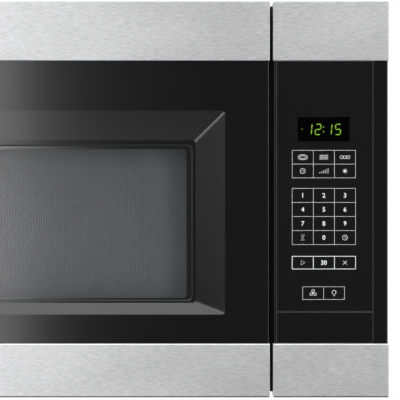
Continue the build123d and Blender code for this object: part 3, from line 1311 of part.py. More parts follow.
# Interlock housing behind the front frame, with the catches that the hooks drop behind
housing_side, housing_web, housing_plate, housing_depth = 9.0, 3.0, 2.0, 32.0
catch_back, catch_air, catch_height, catch_side = 9.0, 0.5, 12.0, 5.0
web_x = latch_x + 8.0
with BuildPart() as interlock_housing:
    with BuildSketch(facing(case_front)):
        area(latch_x - housing_side, web_x + housing_web, hook_lower - bar_end, hook_upper + bar_end, 2.0)
        hook_windows()
    extrude(amount=-housing_plate)
    with BuildSketch(facing(case_front)):
        area(web_x, web_x + housing_web, hook_lower - bar_end, hook_upper + bar_end)
    extrude(amount=-housing_depth)
    for hook in (hook_upper, hook_lower):
        with BuildSketch(upright(latch_x - catch_side)):
            area(-hook_end - nose_length - catch_back, -hook_end - nose_length - catch_air,
                 hook - hook_height / 2 - catch_height, hook - hook_height / 2 - catch_air, 1.0)
        extrude(amount=web_x - latch_x + catch_side)
save(interlock_housing.part, "interlock_housing")

# Three door switches on the housing, each with two blade terminals
switch_half, switch_depth, switch_front, switch_thickness = 8.0, 28.0, 3.0, 10.0
blade_length, blade_inner, blade_outer, blade_thickness = 6.0, 3.0, 5.0, 1.0
switch_rear = case_front - switch_front - switch_depth
with BuildPart() as door_switches:
    for middle in (hook_upper, (hook_upper + hook_lower) / 2, hook_lower):
        with BuildSketch(upright(web_x + housing_web)):
            area(-case_front + switch_front, -switch_rear, middle - switch_half, middle + switch_half, 1.0)
        extrude(amount=switch_thickness)
        with BuildSketch(upright(web_x + housing_web + (switch_thickness - blade_thickness) / 2)):
            area(-switch_rear, -switch_rear + blade_length, middle - blade_outer, middle - blade_inner)
            area(-switch_rear, -switch_rear + blade_length, middle + blade_inner, middle + blade_outer)
        extrude(amount=blade_thickness)
save(door_switches.part, "door_switches")

# ================================================================== control panel
overlay_x = control_left + overlay_left
overlay_right = overlay_x + overlay_width
overlay_high, overlay_low = top - band_top, bottom + band_bottom
overlay_back = face - overlay_sheet
insert_high = overlay_low + insert_height
display_x = control_left + display_left
display_right = display_x + display_width
display_high = overlay_high - display_drop
display_low = display_high - display_height
panel_left, panel_right = control_left + band_sheet, right - band_sheet
display_gap, pocket_lap, tail_left, tail_right, tail_low, tail_high = 1.0, 1.0, 30.0, 70.0, 8.0, 14.0
board_setback, board_foot, board_head, board_inset = 16.0, 42.25, 8.25, 1.0
board_front = overlay_back - board_setback
board_low, board_high = overlay_low + board_foot, overlay_high - board_head
standoff_inset, standoff_foot = 8.0, 40.0
standoff_places = [(x, z) for x in (overlay_x + standoff_inset, overlay_right - standoff_inset)
                   for z in (board_low + standoff_foot, board_high - standoff_inset)]

# Moulding with the pocket of the overlay, the openings of the display and the keypad's tail, and
# the posts of the board
with BuildPart() as control_bezel:
    with BuildSketch(facing(case_depth)):
        area(panel_left, panel_right, door_low, door_high, band_corner)
    extrude(amount=face - case_depth)
    fillet(control_bezel.faces().sort_by(Axis.Y)[0].edges(), skirt_round)
    with BuildSketch(facing(case_depth)):
        area(panel_left + plastic, panel_right - plastic, door_low + plastic, door_high - plastic, band_corner)
    extrude(amount=overlay_back - plastic - case_depth, mode=Mode.SUBTRACT)
    with BuildSketch(facing(overlay_back)):
        area(overlay_x - seat, overlay_right + seat, overlay_low - pocket_lap, overlay_high + pocket_lap)
    extrude(amount=2 * overlay_sheet, mode=Mode.SUBTRACT)
    with BuildSketch(facing(overlay_back)):
        area(display_x - display_gap, display_right + display_gap, display_low - display_gap,
             display_high + display_gap)
        area(overlay_x + tail_left, overlay_x + tail_right, insert_high + tail_low, insert_high + tail_high)
    extrude(amount=-plastic, mode=Mode.SUBTRACT)
    with BuildSketch(facing(board_front)):
        with Locations(*standoff_places):
            Circle(boss_radius)
    extrude(amount=overlay_back - plastic - board_front)
save(control_bezel.part, "control_bezel")

# Stainless bands of the control panel
save(band(control_left, right, top - band_top, top, True), "control_top_band")
save(band(control_left, right, bottom, bottom + band_bottom, False), "control_bottom_band")

# Printed membrane keypad, with the opening of the display window
insert_gap, overlay_corner, lens_gap = 0.4, 0.8, 0.2
with BuildPart() as keypad_overlay:
    with BuildSketch(facing(overlay_back)):
        area(overlay_x, overlay_right, insert_high + insert_gap, overlay_high - seat, overlay_corner)
        area(display_x, display_right, display_low, display_high, 1.0, Mode.SUBTRACT)
    extrude(amount=overlay_sheet)
save(keypad_overlay.part, "keypad_overlay")

# Plain insert below the keypad
with BuildPart() as lower_insert:
    with BuildSketch(facing(overlay_back)):
        area(overlay_x, overlay_right, overlay_low + seat, insert_high, overlay_corner)
    extrude(amount=overlay_sheet)
save(lower_insert.part, "lower_insert")

# Smoked window of the display
with BuildPart() as display_window:
    with BuildSketch(facing(overlay_back)):
        area(display_x + lens_gap, display_right - lens_gap, display_low + lens_gap, display_high - lens_gap,
             overlay_corner)
    extrude(amount=overlay_sheet - lens_gap)
save(display_window.part, "display_window")

# Control board with three relays, its transformer, a capacitor and the display module
relay_first, relay_spacing, relay_rise, relay_wide, relay_tall = 24.0, 28.0, 30.0, 19.0, 16.0
supply_x, supply_rise, supply_wide, supply_tall = 30.0, 80.0, 36.0, 32.0
relay_z, supply_z = board_low + relay_rise, board_low + supply_rise
smoother_x, smoother_radius, component_height = 75.0, 8.0, 17.0
module_side, module_end, module_air = 2.0, 3.0, 0.5
with BuildPart() as control_board:
    with BuildSketch(facing(board_front - board_sheet)):
        area(overlay_x + board_inset, overlay_right - board_inset, board_low, board_high, 2.0)
    extrude(amount=board_sheet)
    with BuildSketch(facing(board_front - board_sheet)):
        with Locations(*((overlay_x + relay_first + number * relay_spacing, relay_z) for number in range(3))):
            Rectangle(relay_wide, relay_tall)
        with Locations((overlay_x + supply_x, supply_z)):
            Rectangle(supply_wide, supply_tall)
        with Locations((overlay_x + smoother_x, supply_z)):
            Circle(smoother_radius)
    extrude(amount=-component_height)
    with BuildSketch(facing(board_front)):
        area(display_x - module_side, display_right + module_side, display_low - module_end,
             display_high + module_end, 1.0)
    extrude(amount=overlay_back - plastic - board_front - module_air)
save(control_board.part, "control_board")
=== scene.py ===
"""Finishes, prints and studio of an over-the-range microwave oven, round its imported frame."""

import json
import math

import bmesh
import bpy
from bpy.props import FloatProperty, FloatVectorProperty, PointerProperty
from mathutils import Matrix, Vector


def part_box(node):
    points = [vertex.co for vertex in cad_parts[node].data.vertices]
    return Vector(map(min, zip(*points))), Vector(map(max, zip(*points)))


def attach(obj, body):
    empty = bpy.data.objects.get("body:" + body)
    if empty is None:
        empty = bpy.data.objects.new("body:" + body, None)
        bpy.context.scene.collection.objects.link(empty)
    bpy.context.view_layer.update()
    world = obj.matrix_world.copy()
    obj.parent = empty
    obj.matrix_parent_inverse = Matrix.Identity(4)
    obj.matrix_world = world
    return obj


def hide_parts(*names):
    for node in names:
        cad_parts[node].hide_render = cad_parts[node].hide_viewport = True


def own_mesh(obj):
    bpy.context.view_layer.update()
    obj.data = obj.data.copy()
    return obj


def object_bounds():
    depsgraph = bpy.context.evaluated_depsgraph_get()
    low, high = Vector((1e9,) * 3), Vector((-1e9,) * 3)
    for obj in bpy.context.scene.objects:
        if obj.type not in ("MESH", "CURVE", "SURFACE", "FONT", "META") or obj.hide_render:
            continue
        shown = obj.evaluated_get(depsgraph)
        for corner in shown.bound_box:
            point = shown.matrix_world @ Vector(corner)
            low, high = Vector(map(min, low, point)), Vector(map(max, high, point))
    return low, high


bl_info = {
    "name": "Over-the-Range Microwave",
    "version": (1, 1, 0),
    "blender": (4, 5, 0),
    "location": "View3D > Sidebar > Microwave",
    "description": "Finishes the pieces of an over-the-range microwave oven and sets up its studio",
    "category": "Object",
}

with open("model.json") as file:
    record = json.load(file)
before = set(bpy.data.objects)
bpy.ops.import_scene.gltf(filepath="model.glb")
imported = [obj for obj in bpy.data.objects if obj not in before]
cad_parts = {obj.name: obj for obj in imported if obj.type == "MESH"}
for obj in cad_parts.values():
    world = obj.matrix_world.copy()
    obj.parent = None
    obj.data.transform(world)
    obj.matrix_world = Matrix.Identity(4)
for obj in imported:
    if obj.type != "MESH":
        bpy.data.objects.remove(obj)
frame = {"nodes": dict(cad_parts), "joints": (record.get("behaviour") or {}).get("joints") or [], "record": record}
cad_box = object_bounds()

MM = 0.001
SAME_POINT = 0.001 * MM           # points this close are one
FLAT = math.radians(0.5)          # faces that turn less than this are one flat face
SOFT_CORNER = math.radians(9)     # mouldings and bands are rounded at corners over this
CRISP_ROUND = math.radians(28)    # round pieces stay crisp at corners over this
CRISP_MOULDED = math.radians(40)  # mouldings and bands stay crisp at corners over this
BODY_OF = {node: body for body, nodes in frame["record"]["behaviour"]["bodies"].items() for node in nodes}


# ------------------------------------------------------------------ sizes and colours
class OvenLooks(bpy.types.PropertyGroup):
    """Sizes and colours that can be changed by hand."""

    steel: FloatVectorProperty(
        name="Stainless steel", description="Base colour of the four bands",
        subtype="COLOR", size=3, min=0, max=1, default=(0.54, 0.54, 0.547))
    black: FloatVectorProperty(
        name="Gloss black", description="Base colour of the door front and the control panel",
        subtype="COLOR", size=3, min=0, max=1, default=(0.0035, 0.0035, 0.0038))
    ink: FloatVectorProperty(
        name="Print", description="Colour of the printed key outlines and numbers",
        subtype="COLOR", size=3, min=0, max=1, default=(0.8, 0.8, 0.8))
    glow: FloatVectorProperty(
        name="Digits", description="Colour of the lit display digits",
        subtype="COLOR", size=3, min=0, max=1, default=(0.5, 1.0, 0.08))
    edge: FloatProperty(
        name="Edge", description="Rounding of the moulded edges",
        unit="LENGTH", default=0.5 * MM, min=0.0)
    fold: FloatProperty(
        name="Fold", description="Rounding of the bands' edges",
        unit="LENGTH", default=0.9 * MM, min=0.0)
    film_edge: FloatProperty(
        name="Film edge", description="Rounding of the keypad overlay and the lower insert",
        unit="LENGTH", default=0.45 * MM, min=0.0)
    hole_pitch: FloatProperty(
        name="Hole pitch", description="Distance between neighbouring holes of the door screen",
        unit="LENGTH", default=2.0 * MM, min=0.5 * MM)
    hole_radius: FloatProperty(
        name="Hole radius", description="Radius of one hole of the door screen",
        unit="LENGTH", default=0.86 * MM, min=0.1 * MM)
    line: FloatProperty(
        name="Line", description="Width of the printed key outlines",
        unit="LENGTH", default=0.28 * MM, min=0.1 * MM)
    # Width of the painted highlight line round the keypad overlay and the lower insert
    seam: FloatProperty(
        name="Seam", description="Width of the pale line round the overlay and the insert",
        unit="LENGTH", default=0.7 * MM, min=0.1 * MM)
    sign_line: FloatProperty(
        name="Sign line", description="Width of the strokes in the printed signs",
        unit="LENGTH", default=0.5 * MM, min=0.1 * MM)
    number_height: FloatProperty(
        name="Number height", description="Height of the printed numbers",
        unit="LENGTH", default=4.9 * MM, min=1.0 * MM)
    digit_height: FloatProperty(
        name="Digit height", description="Height of the lit display digits",
        unit="LENGTH", default=11.9 * MM, min=1.0 * MM)


# ------------------------------------------------------------------ shader maths
class Wire:
    """The output of a shader node. Arithmetic on it adds Math nodes."""

    def __init__(self, nodes, plug):
        self.nodes, self.plug = nodes, plug

    def _maths(self, operation, *values):
        return self.nodes.node("ShaderNodeMath", {"operation": operation}, dict(enumerate(values)))

    def __add__(self, other):
        return self._maths("ADD", self, other)

    def __sub__(self, other):
        return self._maths("SUBTRACT", self, other)

    def __rsub__(self, other):
        return self._maths("SUBTRACT", other, self)

    def __mul__(self, other):
        return self._maths("MULTIPLY", self, other)

    def __truediv__(self, other):
        return self._maths("DIVIDE", self, other)

    def __mod__(self, other):
        return self._maths("FLOORED_MODULO", self, other)

    def __pow__(self, other):
        return self._maths("POWER", self, other)

    def __gt__(self, other):
        return self._maths("GREATER_THAN", self, other)

    def __lt__(self, other):
        return self._maths("LESS_THAN", self, other)

    def __abs__(self):
        return self._maths("ABSOLUTE", self)

    def floor(self):
        return self._maths("FLOOR", self)

    def maximum(self, other):
        return self._maths("MAXIMUM", self, other)

    def between(self, low, high):
        """Rises from 0 to 1 as the value goes from low to high, gently at both ends."""
        settings = {"interpolation_type": "SMOOTHSTEP"}
        return self.nodes.node("ShaderNodeMapRange", settings, {"Value": self, "From Min": low, "From Max": high})

    __radd__ = __add__
    __rmul__ = __mul__


class Nodes:
    """Adds nodes to a shader tree and joins them."""

    def __init__(self, tree):
        self.tree = tree

    def node(self, kind, settings=None, values=None, output=0):
        """Adds a node. Its settings are set first, then its sockets are given values or links."""
        made = self.tree.nodes.new(kind)
        for key, value in (settings or {}).items():
            setattr(made, key, value)
        for key, value in (values or {}).items():
            self.join(made.inputs[key], value)
        return Wire(self, made.outputs[output])

    def join(self, socket, value):
        """Links a wire to a socket, or sets the socket to a value."""
        if isinstance(value, Wire):
            self.tree.links.new(value.plug, socket)
        else:
            socket.default_value = value

    def several(self, wire):
        """Every output of a wire's node."""
        return [Wire(self, plug) for plug in wire.plug.node.outputs]

    def axes(self, source="Object"):
        """The coordinates along X, Y and Z."""
        spot = self.node("ShaderNodeTexCoord", output=source)
        return self.several(self.node("ShaderNodeSeparateXYZ", values={"Vector": spot}))

    def rays(self):
        """Three masks: rays straight from the camera, off a glossy surface, and through glass."""
        paths = {wire.plug.name: wire for wire in self.several(self.node("ShaderNodeLightPath"))}
        return [paths[name] for name in ("Is Camera Ray", "Is Glossy Ray", "Is Transmission Ray")]


class Finish(Nodes):
    """A material whose Principled shader is fed by procedural patterns on Object coordinates."""

    def __init__(self, name, colour, roughness, metallic=0.0, **fixed):
        self.material = bpy.data.materials.new(name)
        self.material.use_nodes = True
        super().__init__(self.material.node_tree)
        self.shader = self.tree.nodes["Principled BSDF"]
        self.colour = colour
        self.feed("Base Color", (*colour, 1.0))
        self.feed("Roughness", roughness)
        self.feed("Metallic", metallic)
        for socket, value in fixed.items():
            self.feed(socket.replace("_", " "), value)

    def feed(self, socket, value):
        """Gives a socket of the shader a value or a pattern."""
        self.join(self.shader.inputs[socket], value)

    def scaled(self, x, y, z):
        """Object coordinates with that many units to the metre along each axis."""
        spot = self.node("ShaderNodeTexCoord", output="Object")
        return self.node("ShaderNodeMapping", values={"Vector": spot, "Scale": (x, y, z)})

    def noise(self, x, y, z, detail=2.0, roughness=0.5):
        """Soft noise with that many features to the metre along each axis, from 0 to 1."""
        values = {"Vector": self.scaled(x, y, z), "Scale": 1.0, "Detail": detail, "Roughness": roughness}
        return self.node("ShaderNodeTexNoise", values=values)

    def cells(self, x, y, z, output="Distance"):
        """Cells, that many to the metre along each axis: how far it is to a cell's middle, or a colour for each."""
        return self.node("ShaderNodeTexVoronoi", values={"Vector": self.scaled(x, y, z), "Scale": 1.0}, output=output)

    def mix(self, mask, first, second):
        """The first colour where mask is 0, the second where it is 1."""
        colours = [value if isinstance(value, Wire) else (*value, 1.0) for value in (first, second)]
        settings = {"data_type": "RGBA", "clamp_factor": True}
        return self.node("ShaderNodeMix", settings, {0: mask, 6: colours[0], 7: colours[1]}, output=2)

    def shade(self, mask, spread):
        """Varies the base colour by this share, darker where mask is 0 and lighter where it is 1."""
        dark = [channel * (1 - spread) for channel in self.colour]
        light = [min(1.0, channel * (1 + spread)) for channel in self.colour]
        self.feed("Base Color", self.mix(mask, dark, light))

    def bump(self, height, strength, distance=0.1 * MM):
        """Raises the surface by this distance where height is 1."""
        values = {"Height": height, "Strength": strength, "Distance": distance}
        self.feed("Normal", self.node("ShaderNodeBump", values=values))


# ------------------------------------------------------------------ finishes
def stainless(looks):
    """Brushed along X: long soft streaks, clouds of them, and a fine grain. The bottom bands' upper folds carry a
    painted highlight, and their lower edges a painted shade."""
    finish = Finish("brushed_stainless", looks.steel, 0.42, 1.0)
    streaks = finish.noise(130, 130, 850, 3.0, 0.6)
    grain = finish.noise(400, 400, 2600, 2.0, 0.6)
    clouds = finish.noise(7, 7, 22, 3.0)
    pattern = streaks * 0.5 + grain * 0.3 + clouds * 0.2
    bottom, top = [corner.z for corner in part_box("door_bottom_band")]
    up = finish.axes()[2]
    # Painted highlight: near-white along the bottom bands' upper fold, where the overhead light catches it
    painted_highlight_fold = up.between(top - 1.3 * MM, top - 0.6 * MM) * (up < top + 1.0 * MM)
    # Painted shade: near-black along the bottom bands' lower edges
    painted_shade_edge = 1.0 - up.between(bottom + 0.9 * MM, bottom + 1.6 * MM)
    dark, light = ([channel * share for channel in looks.steel] for share in (0.82, 1.14))
    brushed = finish.mix(pattern.between(0.34, 0.66), dark, light)
    brushed_with_highlight = finish.mix(painted_highlight_fold, brushed, (0.93, 0.93, 0.93))
    finish.feed("Base Color", finish.mix(painted_shade_edge, brushed_with_highlight, (0.06, 0.06, 0.06)))
    finish.feed("Roughness", pattern * 0.2 + 0.33)
    finish.bump(streaks * 0.6 + grain * 0.4, 0.2)
    return finish.material


def gloss_moulding(name, colour, roughness=0.16):
    """Moulded gloss plastic with a faint orange peel and slightly uneven gloss."""
    finish = Finish(name, colour, roughness, Specular_IOR_Level=0.5)
    clouds = finish.noise(7, 7, 7, 3.0)
    peel = finish.noise(420, 420, 420, 1.0)
    finish.shade(clouds, 0.25)
    finish.feed("Roughness", clouds * 0.05 + (roughness - 0.025))
    finish.bump(peel, 0.02)
    return finish.material


def matte_moulding(name, colour, roughness=0.55):
    """Moulded plastic with a fine spark-eroded grain."""
    finish = Finish(name, colour, roughness, Specular_IOR_Level=0.4)
    grain = finish.cells(1100, 1100, 1100)
    clouds = finish.noise(12, 12, 12, 3.0)
    finish.shade(clouds, 0.14)
    finish.feed("Roughness", grain * 0.12 + (roughness - 0.04))
    finish.bump(grain, 0.12)
    return finish.material


def painted(name, colour, roughness=0.42):
    """Stoved paint on sheet steel: fine orange peel, a little unevenness."""
    finish = Finish(name, colour, roughness, Specular_IOR_Level=0.45)
    peel = finish.noise(260, 260, 260, 2.0)
    clouds = finish.noise(5, 5, 5, 3.0)
    finish.shade(clouds, 0.12)
    finish.feed("Roughness", peel * 0.1 + (roughness - 0.05))
    finish.bump(peel, 0.1)
    return finish.material


def plated(name, colour, roughness=0.38):
    """Zinc-plated sheet with its faint spangle and rolling marks."""
    finish = Finish(name, colour, roughness, 1.0)
    spangle = finish.cells(85, 85, 85, "Color")
    rolled = finish.noise(30, 900, 900, 2.0)
    pattern = spangle * 0.5 + rolled * 0.5
    finish.shade(pattern.between(0.2, 0.8), 0.12)
    finish.feed("Roughness", pattern * 0.14 + (roughness - 0.06))
    finish.bump(rolled, 0.08)
    return finish.material


def enamel(name, colour):
    """Speckled vitreous enamel of the oven walls."""
    finish = Finish(name, colour, 0.3)
    speckle = finish.cells(480, 480, 480)
    clouds = finish.noise(9, 9, 9, 2.0)
    finish.feed("Base Color", finish.mix((speckle < 0.16) * clouds, colour, [channel * 0.55 for channel in colour]))
    finish.feed("Roughness", clouds * 0.12 + 0.24)
    finish.bump(finish.noise(320, 320, 320, 1.0), 0.06)
    return finish.material


def layered(name, colour, pitch, axis=2, metallic=0.0, roughness=0.5):
    """Stacked sheets or wound wire: fine ridges across one axis, with painted shade in the grooves and a painted
    highlight on the crests.
    """
    finish = Finish(name, colour, roughness, metallic)
    along = finish.axes()[axis]
    ridge_height_and_shade = abs((along / pitch) % 1.0 - 0.5) * 2.0
    clouds = finish.noise(60, 60, 60, 2.0)
    # Painted shade and highlight: darker in the grooves between sheets, fins or turns, lighter on their crests, with
    # random tone
    finish.shade(ridge_height_and_shade * 0.7 + clouds * 0.3, 0.35)
    finish.feed("Roughness", clouds * 0.2 + (roughness - 0.1))
    finish.bump(ridge_height_and_shade, 0.4, pitch * 0.3)
    return finish.material


def circuit(name, colour, back=0.0):
    """Green solder mask with tracks. What stands behind the board's back is dark components."""
    finish = Finish(name, colour, 0.4)
    across, depth, _ = finish.axes()
    tracks = abs((across / 0.0042) % 1.0 - 0.5) < 0.13
    broken = finish.noise(70, 70, 70, 2.0) > 0.5
    board = finish.mix(tracks * broken, colour, [channel * 1.9 for channel in colour])
    blocks = finish.mix(finish.cells(45, 45, 45, "Color") > 0.5, (0.03, 0.03, 0.035), (0.09, 0.11, 0.16))
    finish.feed("Base Color", finish.mix(depth > back, board, blocks))
    finish.feed("Roughness", finish.noise(90, 90, 90) * 0.25 + 0.3)
    return finish.material


# Printed border of the window pane, from each edge of the pane, and the rounding of its clear field
BORDER_SIDE, BORDER_TOP, BORDER_FOOT, BORDER_CORNER = 12.5 * MM, 11.5 * MM, 9.35 * MM, 3.0 * MM
HOLES_PAST_BORDER = 4.0 * MM    # how far the screen's holes go on under the border


def reach(first, second):
    """The distance from the middle to a point with these two offsets."""
    return (first * first + second * second) ** 0.5


def clear_field(finish, growth):
    """How far a point lies outside the pane's clear field grown by this much, in corner radii."""
    low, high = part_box("window_pane")
    across, _, up = finish.axes()
    reaches = []
    for place, first, last in ((across, low.x + BORDER_SIDE, high.x - BORDER_SIDE),
                               (up, low.z + BORDER_FOOT, high.z - BORDER_TOP)):
        half = (last - first) / 2 + growth - BORDER_CORNER
        reaches.append(((abs(place - (first + last) / 2) - half) / BORDER_CORNER).maximum(0.0))
    return reach(*reaches)


def screen_steel(looks):
    """Painted sheet with a hexagonal field of round holes that ends under the pane's border."""
    finish = Finish("perforated_steel", (0.66, 0.67, 0.69), 0.45)
    across, _, up = finish.axes()
    spacing = looks.hole_pitch * math.sqrt(3) / 2
    column = across / spacing
    row = up / looks.hole_pitch + (column.floor() % 2.0) * 0.5
    side = ((column % 1.0) - 0.5) * spacing
    rise = ((row % 1.0) - 0.5) * looks.hole_pitch
    finish.shade(finish.noise(14, 14, 14, 2.0), 0.1)
    hole = reach(side, rise) < looks.hole_radius
    finish.feed("Alpha", 1.0 - hole * (clear_field(finish, HOLES_PAST_BORDER) < 1.0))
    return finish.material


def glass(name, colour, alpha, roughness=0.05, **fixed):
    """Clear or smoked glass or plastic, with faint smears."""
    finish = Finish(name, colour, roughness, Alpha=alpha, **fixed)
    smear = finish.noise(11, 11, 11, 3.0)
    finish.shade(smear, 0.1)
    finish.feed("Roughness", smear * 0.04 + roughness)
    return finish.material


def tinted_pane():
    """Smoked glass with a black printed border behind its edge."""
    finish = Finish("tinted_glass", (0.012, 0.0125, 0.014), 0.16, Specular_IOR_Level=0.9)
    printed = clear_field(finish, 0.0) > 1.0
    finish.feed("Base Color", finish.mix(printed, finish.colour, (0.003, 0.003, 0.003)))
    finish.feed("Alpha", printed * 0.75 + 0.25)
    finish.feed("Roughness", finish.noise(9, 9, 9, 3.0) * 0.06 + 0.14)
    return finish.material


def wadding(name, colour):
    """A loose pad of coarse grains."""
    finish = Finish(name, colour, 0.9)
    grains = finish.cells(300, 300, 300)
    finish.shade(grains, 0.5)
    finish.feed("Roughness", grains * 0.1 + 0.85)
    finish.bump(grains, 0.8, 1.0 * MM)
    return finish.material


def mesh_aluminium(name, colour, rim=7.0 * MM, pitch=3.6 * MM):
    """Layers of expanded foil, with bright diamond strands and painted shade in the gaps between them, in a plain
    folded frame.
    """
    finish = Finish(name, colour, 0.35, 1.0)
    across, depth, _ = finish.axes()
    first, second = [abs(((across + depth * lean) / pitch) % 1.0 - 0.5) for lean in (0.6, -0.6)]
    strand = first.maximum(second) * 2.0
    foil = 0.0
    for node in ("grease_filter_left", "grease_filter_right"):
        low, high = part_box(node)
        middle, half = (low + high) / 2, (high - low) / 2
        inside_x = abs(across - middle.x) < half.x - rim
        inside_y = abs(depth - middle.y) < half.y - rim
        foil = inside_x * inside_y + foil
    # Painted shade: the gaps between the strands are a quarter as bright as the foil
    dark = [channel * 0.25 for channel in colour]
    mesh = finish.mix(strand.between(0.45, 0.95), dark, colour)
    finish.feed("Base Color", finish.mix(foil, colour, mesh))
    finish.feed("Roughness", finish.noise(80, 80, 80) * 0.2 + 0.28)
    finish.bump(strand * foil, 0.6, 0.6 * MM)
    return finish.material


# ------------------------------------------------------------------ pieces
def cad_shape(node):
    """A merged copy of a CAD piece, with its flat faces whole again."""
    shape = bmesh.new()
    shape.from_mesh(frame["nodes"][node].data)
    bmesh.ops.remove_doubles(shape, verts=shape.verts, dist=SAME_POINT)
    bmesh.ops.dissolve_limit(shape, angle_limit=FLAT, verts=shape.verts, edges=shape.edges)
    return shape


def faces_of(verts):
    """Every face that touches these points, once."""
    return list(dict.fromkeys(face for vert in verts for face in vert.link_faces))


def make_piece(name, shape, node, material, replaced=False):
    """Makes a mesh object of the shape, in place, on the body of a CAD node."""
    mesh = bpy.data.meshes.new(name)
    shape.to_mesh(mesh)
    shape.free()
    mesh.materials.append(material)
    piece = bpy.data.objects.new(name, mesh)
    bpy.context.scene.collection.objects.link(piece)
    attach(piece, BODY_OF[node])
    if replaced:
        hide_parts(node)
    return piece


def soften(name, node, material, width):
    """Shows a copy of a CAD piece in its place, with its edges rounded to this width."""
    shape = cad_shape(node)
    sharp = [edge for edge in shape.edges if edge.is_manifold and edge.calc_face_angle() > SOFT_CORNER]
    bmesh.ops.bevel(shape, geom=sharp, offset=width, offset_type="OFFSET", segments=3, profile=0.5,
                    affect="EDGES", clamp_overlap=True, material=-1)
    show_smooth(name, shape, node, material, CRISP_MOULDED)


def show_smooth(name, shape, node, material, corner):
    """Shows the shape in place of a CAD piece, shaded smoothly up to this corner angle."""
    for face in shape.faces:
        face.smooth = True
    piece = make_piece(name, shape, node, material, True)
    piece.data.set_sharp_from_angle(angle=corner)
    flat_sides = piece.modifiers.new("flat_sides", "WEIGHTED_NORMAL")
    flat_sides.keep_sharp = True
    flat_sides.weight = 100
    return piece


def smooth(material, *nodes):
    """Gives round CAD pieces their finish on copies that are shaded smoothly, and gives the copies back."""
    return [show_smooth(node + "_smooth", cad_shape(node), node, material, CRISP_ROUND) for node in nodes]


def dress(material, *nodes):
    """Gives CAD pieces their finish."""
    for node in nodes:
        mesh = frame["nodes"][node].data
        mesh.materials.clear()
        mesh.materials.append(material)


# ------------------------------------------------------------------ print
# A print is drawn flat, as it is seen from the front: X is the object's X, Y its height. Then it is stood up.
PRINT_HEIGHT = 0.03 * MM
NUMBER_WEIGHT = 0.02    # how far a number's strokes are thickened, in its own units


def thicken(shape, faces):
    """Gives flat faces the thickness of the ink."""
    grown = bmesh.ops.extrude_face_region(shape, geom=faces)["geom"]
    raised = [part for part in grown if isinstance(part, bmesh.types.BMVert)]
    bmesh.ops.translate(shape, vec=(0, 0, PRINT_HEIGHT), verts=raised)


def stand_up(shape, depth):
    """Turns the flat print upright, with its back on a face at this place on Y."""
    turn = Matrix.Translation((0, depth, 0)) @ Matrix.Rotation(math.radians(90), 4, "X")
    bmesh.ops.transform(shape, matrix=turn, verts=shape.verts)
    bmesh.ops.recalc_face_normals(shape, faces=shape.faces)


def lattice(shape, left, top, wide, tall, columns, rows, line):
    """Adds the outlines of a block of keys, as one sheet. Its sizes go to the middle of the line."""
    size = Vector((columns * wide, rows * tall, 0))
    middle = Vector((left, top, 0)) + Vector((size.x, -size.y, 0)) / 2
    made = bmesh.ops.create_grid(shape, x_segments=columns, y_segments=rows, size=0.5)["verts"]
    bmesh.ops.scale(shape, vec=(size.x, size.y, 1), verts=made)
    cells = faces_of(made)

    def shift(verts, outwards):
        """Moves the points that stand at the block's outline."""
        for vert in verts:
            for axis in (0, 1):
                if abs(vert.co[axis]) > size[axis] / 2 - line * 0.75:
                    vert.co[axis] += outwards * math.copysign(1, vert.co[axis])

    shift(made, line / 2)
    strips = bmesh.ops.inset_individual(shape, faces=cells, thickness=line / 2, use_even_offset=True)["faces"]
    shift(dict.fromkeys(vert for cell in cells for vert in cell.verts), -line / 2)
    bmesh.ops.delete(shape, geom=cells, context="FACES_ONLY")
    sheet = list(dict.fromkeys(vert for face in strips for vert in face.verts))
    bmesh.ops.translate(shape, vec=middle, verts=sheet)
    thicken(shape, strips)


def add_curve(shape, curve):
    """Adds a curve's mesh to the shape and gives back its points."""
    source = bpy.data.objects.new("print", curve)
    first = len(shape.verts)
    shape.from_mesh(source.to_mesh())
    source.to_mesh_clear()
    bpy.data.objects.remove(source)
    shape.verts.ensure_lookup_table()
    return shape.verts[first:]


def figure(shape, text, centre, height):
    """Adds one printed number, its middle at centre."""
    curve = bpy.data.curves.new("number", "FONT")
    curve.body = text
    curve.offset = NUMBER_WEIGHT
    curve.resolution_u = 4
    made = add_curve(shape, curve)
    lows, highs = [Vector([pick(vert.co[axis] for vert in made) for axis in range(3)]) for pick in (min, max)]
    scale = height / (highs.y - lows.y)
    bmesh.ops.translate(shape, vec=-(lows + highs) / 2, verts=made)
    bmesh.ops.transform(shape, matrix=Matrix.Translation((*centre, 0)) @ Matrix.Scale(scale, 4), verts=made)
    thicken(shape, faces_of(made))


def stroke(shape, points, centre, width):
    """Adds one inked line through points, in millimetres from centre. It closes where it ends as it began."""
    closed = math.dist(points[0], points[-1]) < 0.01
    curve = bpy.data.curves.new("line", "CURVE")
    curve.dimensions = "3D"
    curve.bevel_depth = width / 2
    curve.bevel_resolution = 1
    curve.use_fill_caps = True
    points = points[:-1] if closed else points
    spline = curve.splines.new("POLY")
    spline.points.add(len(points) - 1)
    spline.use_cyclic_u = closed
    for point, (x, y) in zip(spline.points, points):
        point.co = (centre[0] + x * MM, centre[1] + y * MM, 0, 1)
    bmesh.ops.scale(shape, vec=(1, 1, 2 * PRINT_HEIGHT / width), verts=add_curve(shape, curve))


def arc(x, y, wide, tall, start=0.0, end=360.0, steps=20):
    """Points along an ellipse round x and y, between two angles."""
    angles = [math.radians(start + (end - start) * step / steps) for step in range(steps + 1)]
    return [(x + wide * math.cos(angle), y + tall * math.sin(angle)) for angle in angles]


def spokes(inner, outer, count, start=90.0):
    """Short lines that point away from a middle."""
    turns = [math.radians(start + 360 * step / count) for step in range(count)]
    return [[(length * math.cos(turn), length * math.sin(turn)) for length in (inner, outer)] for turn in turns]


def wave(y):
    """Points along one and a half turns of a wave at this height."""
    return [(x / 4, y + 0.55 * math.sin(x * math.pi / 6)) for x in range(-18, 19)]


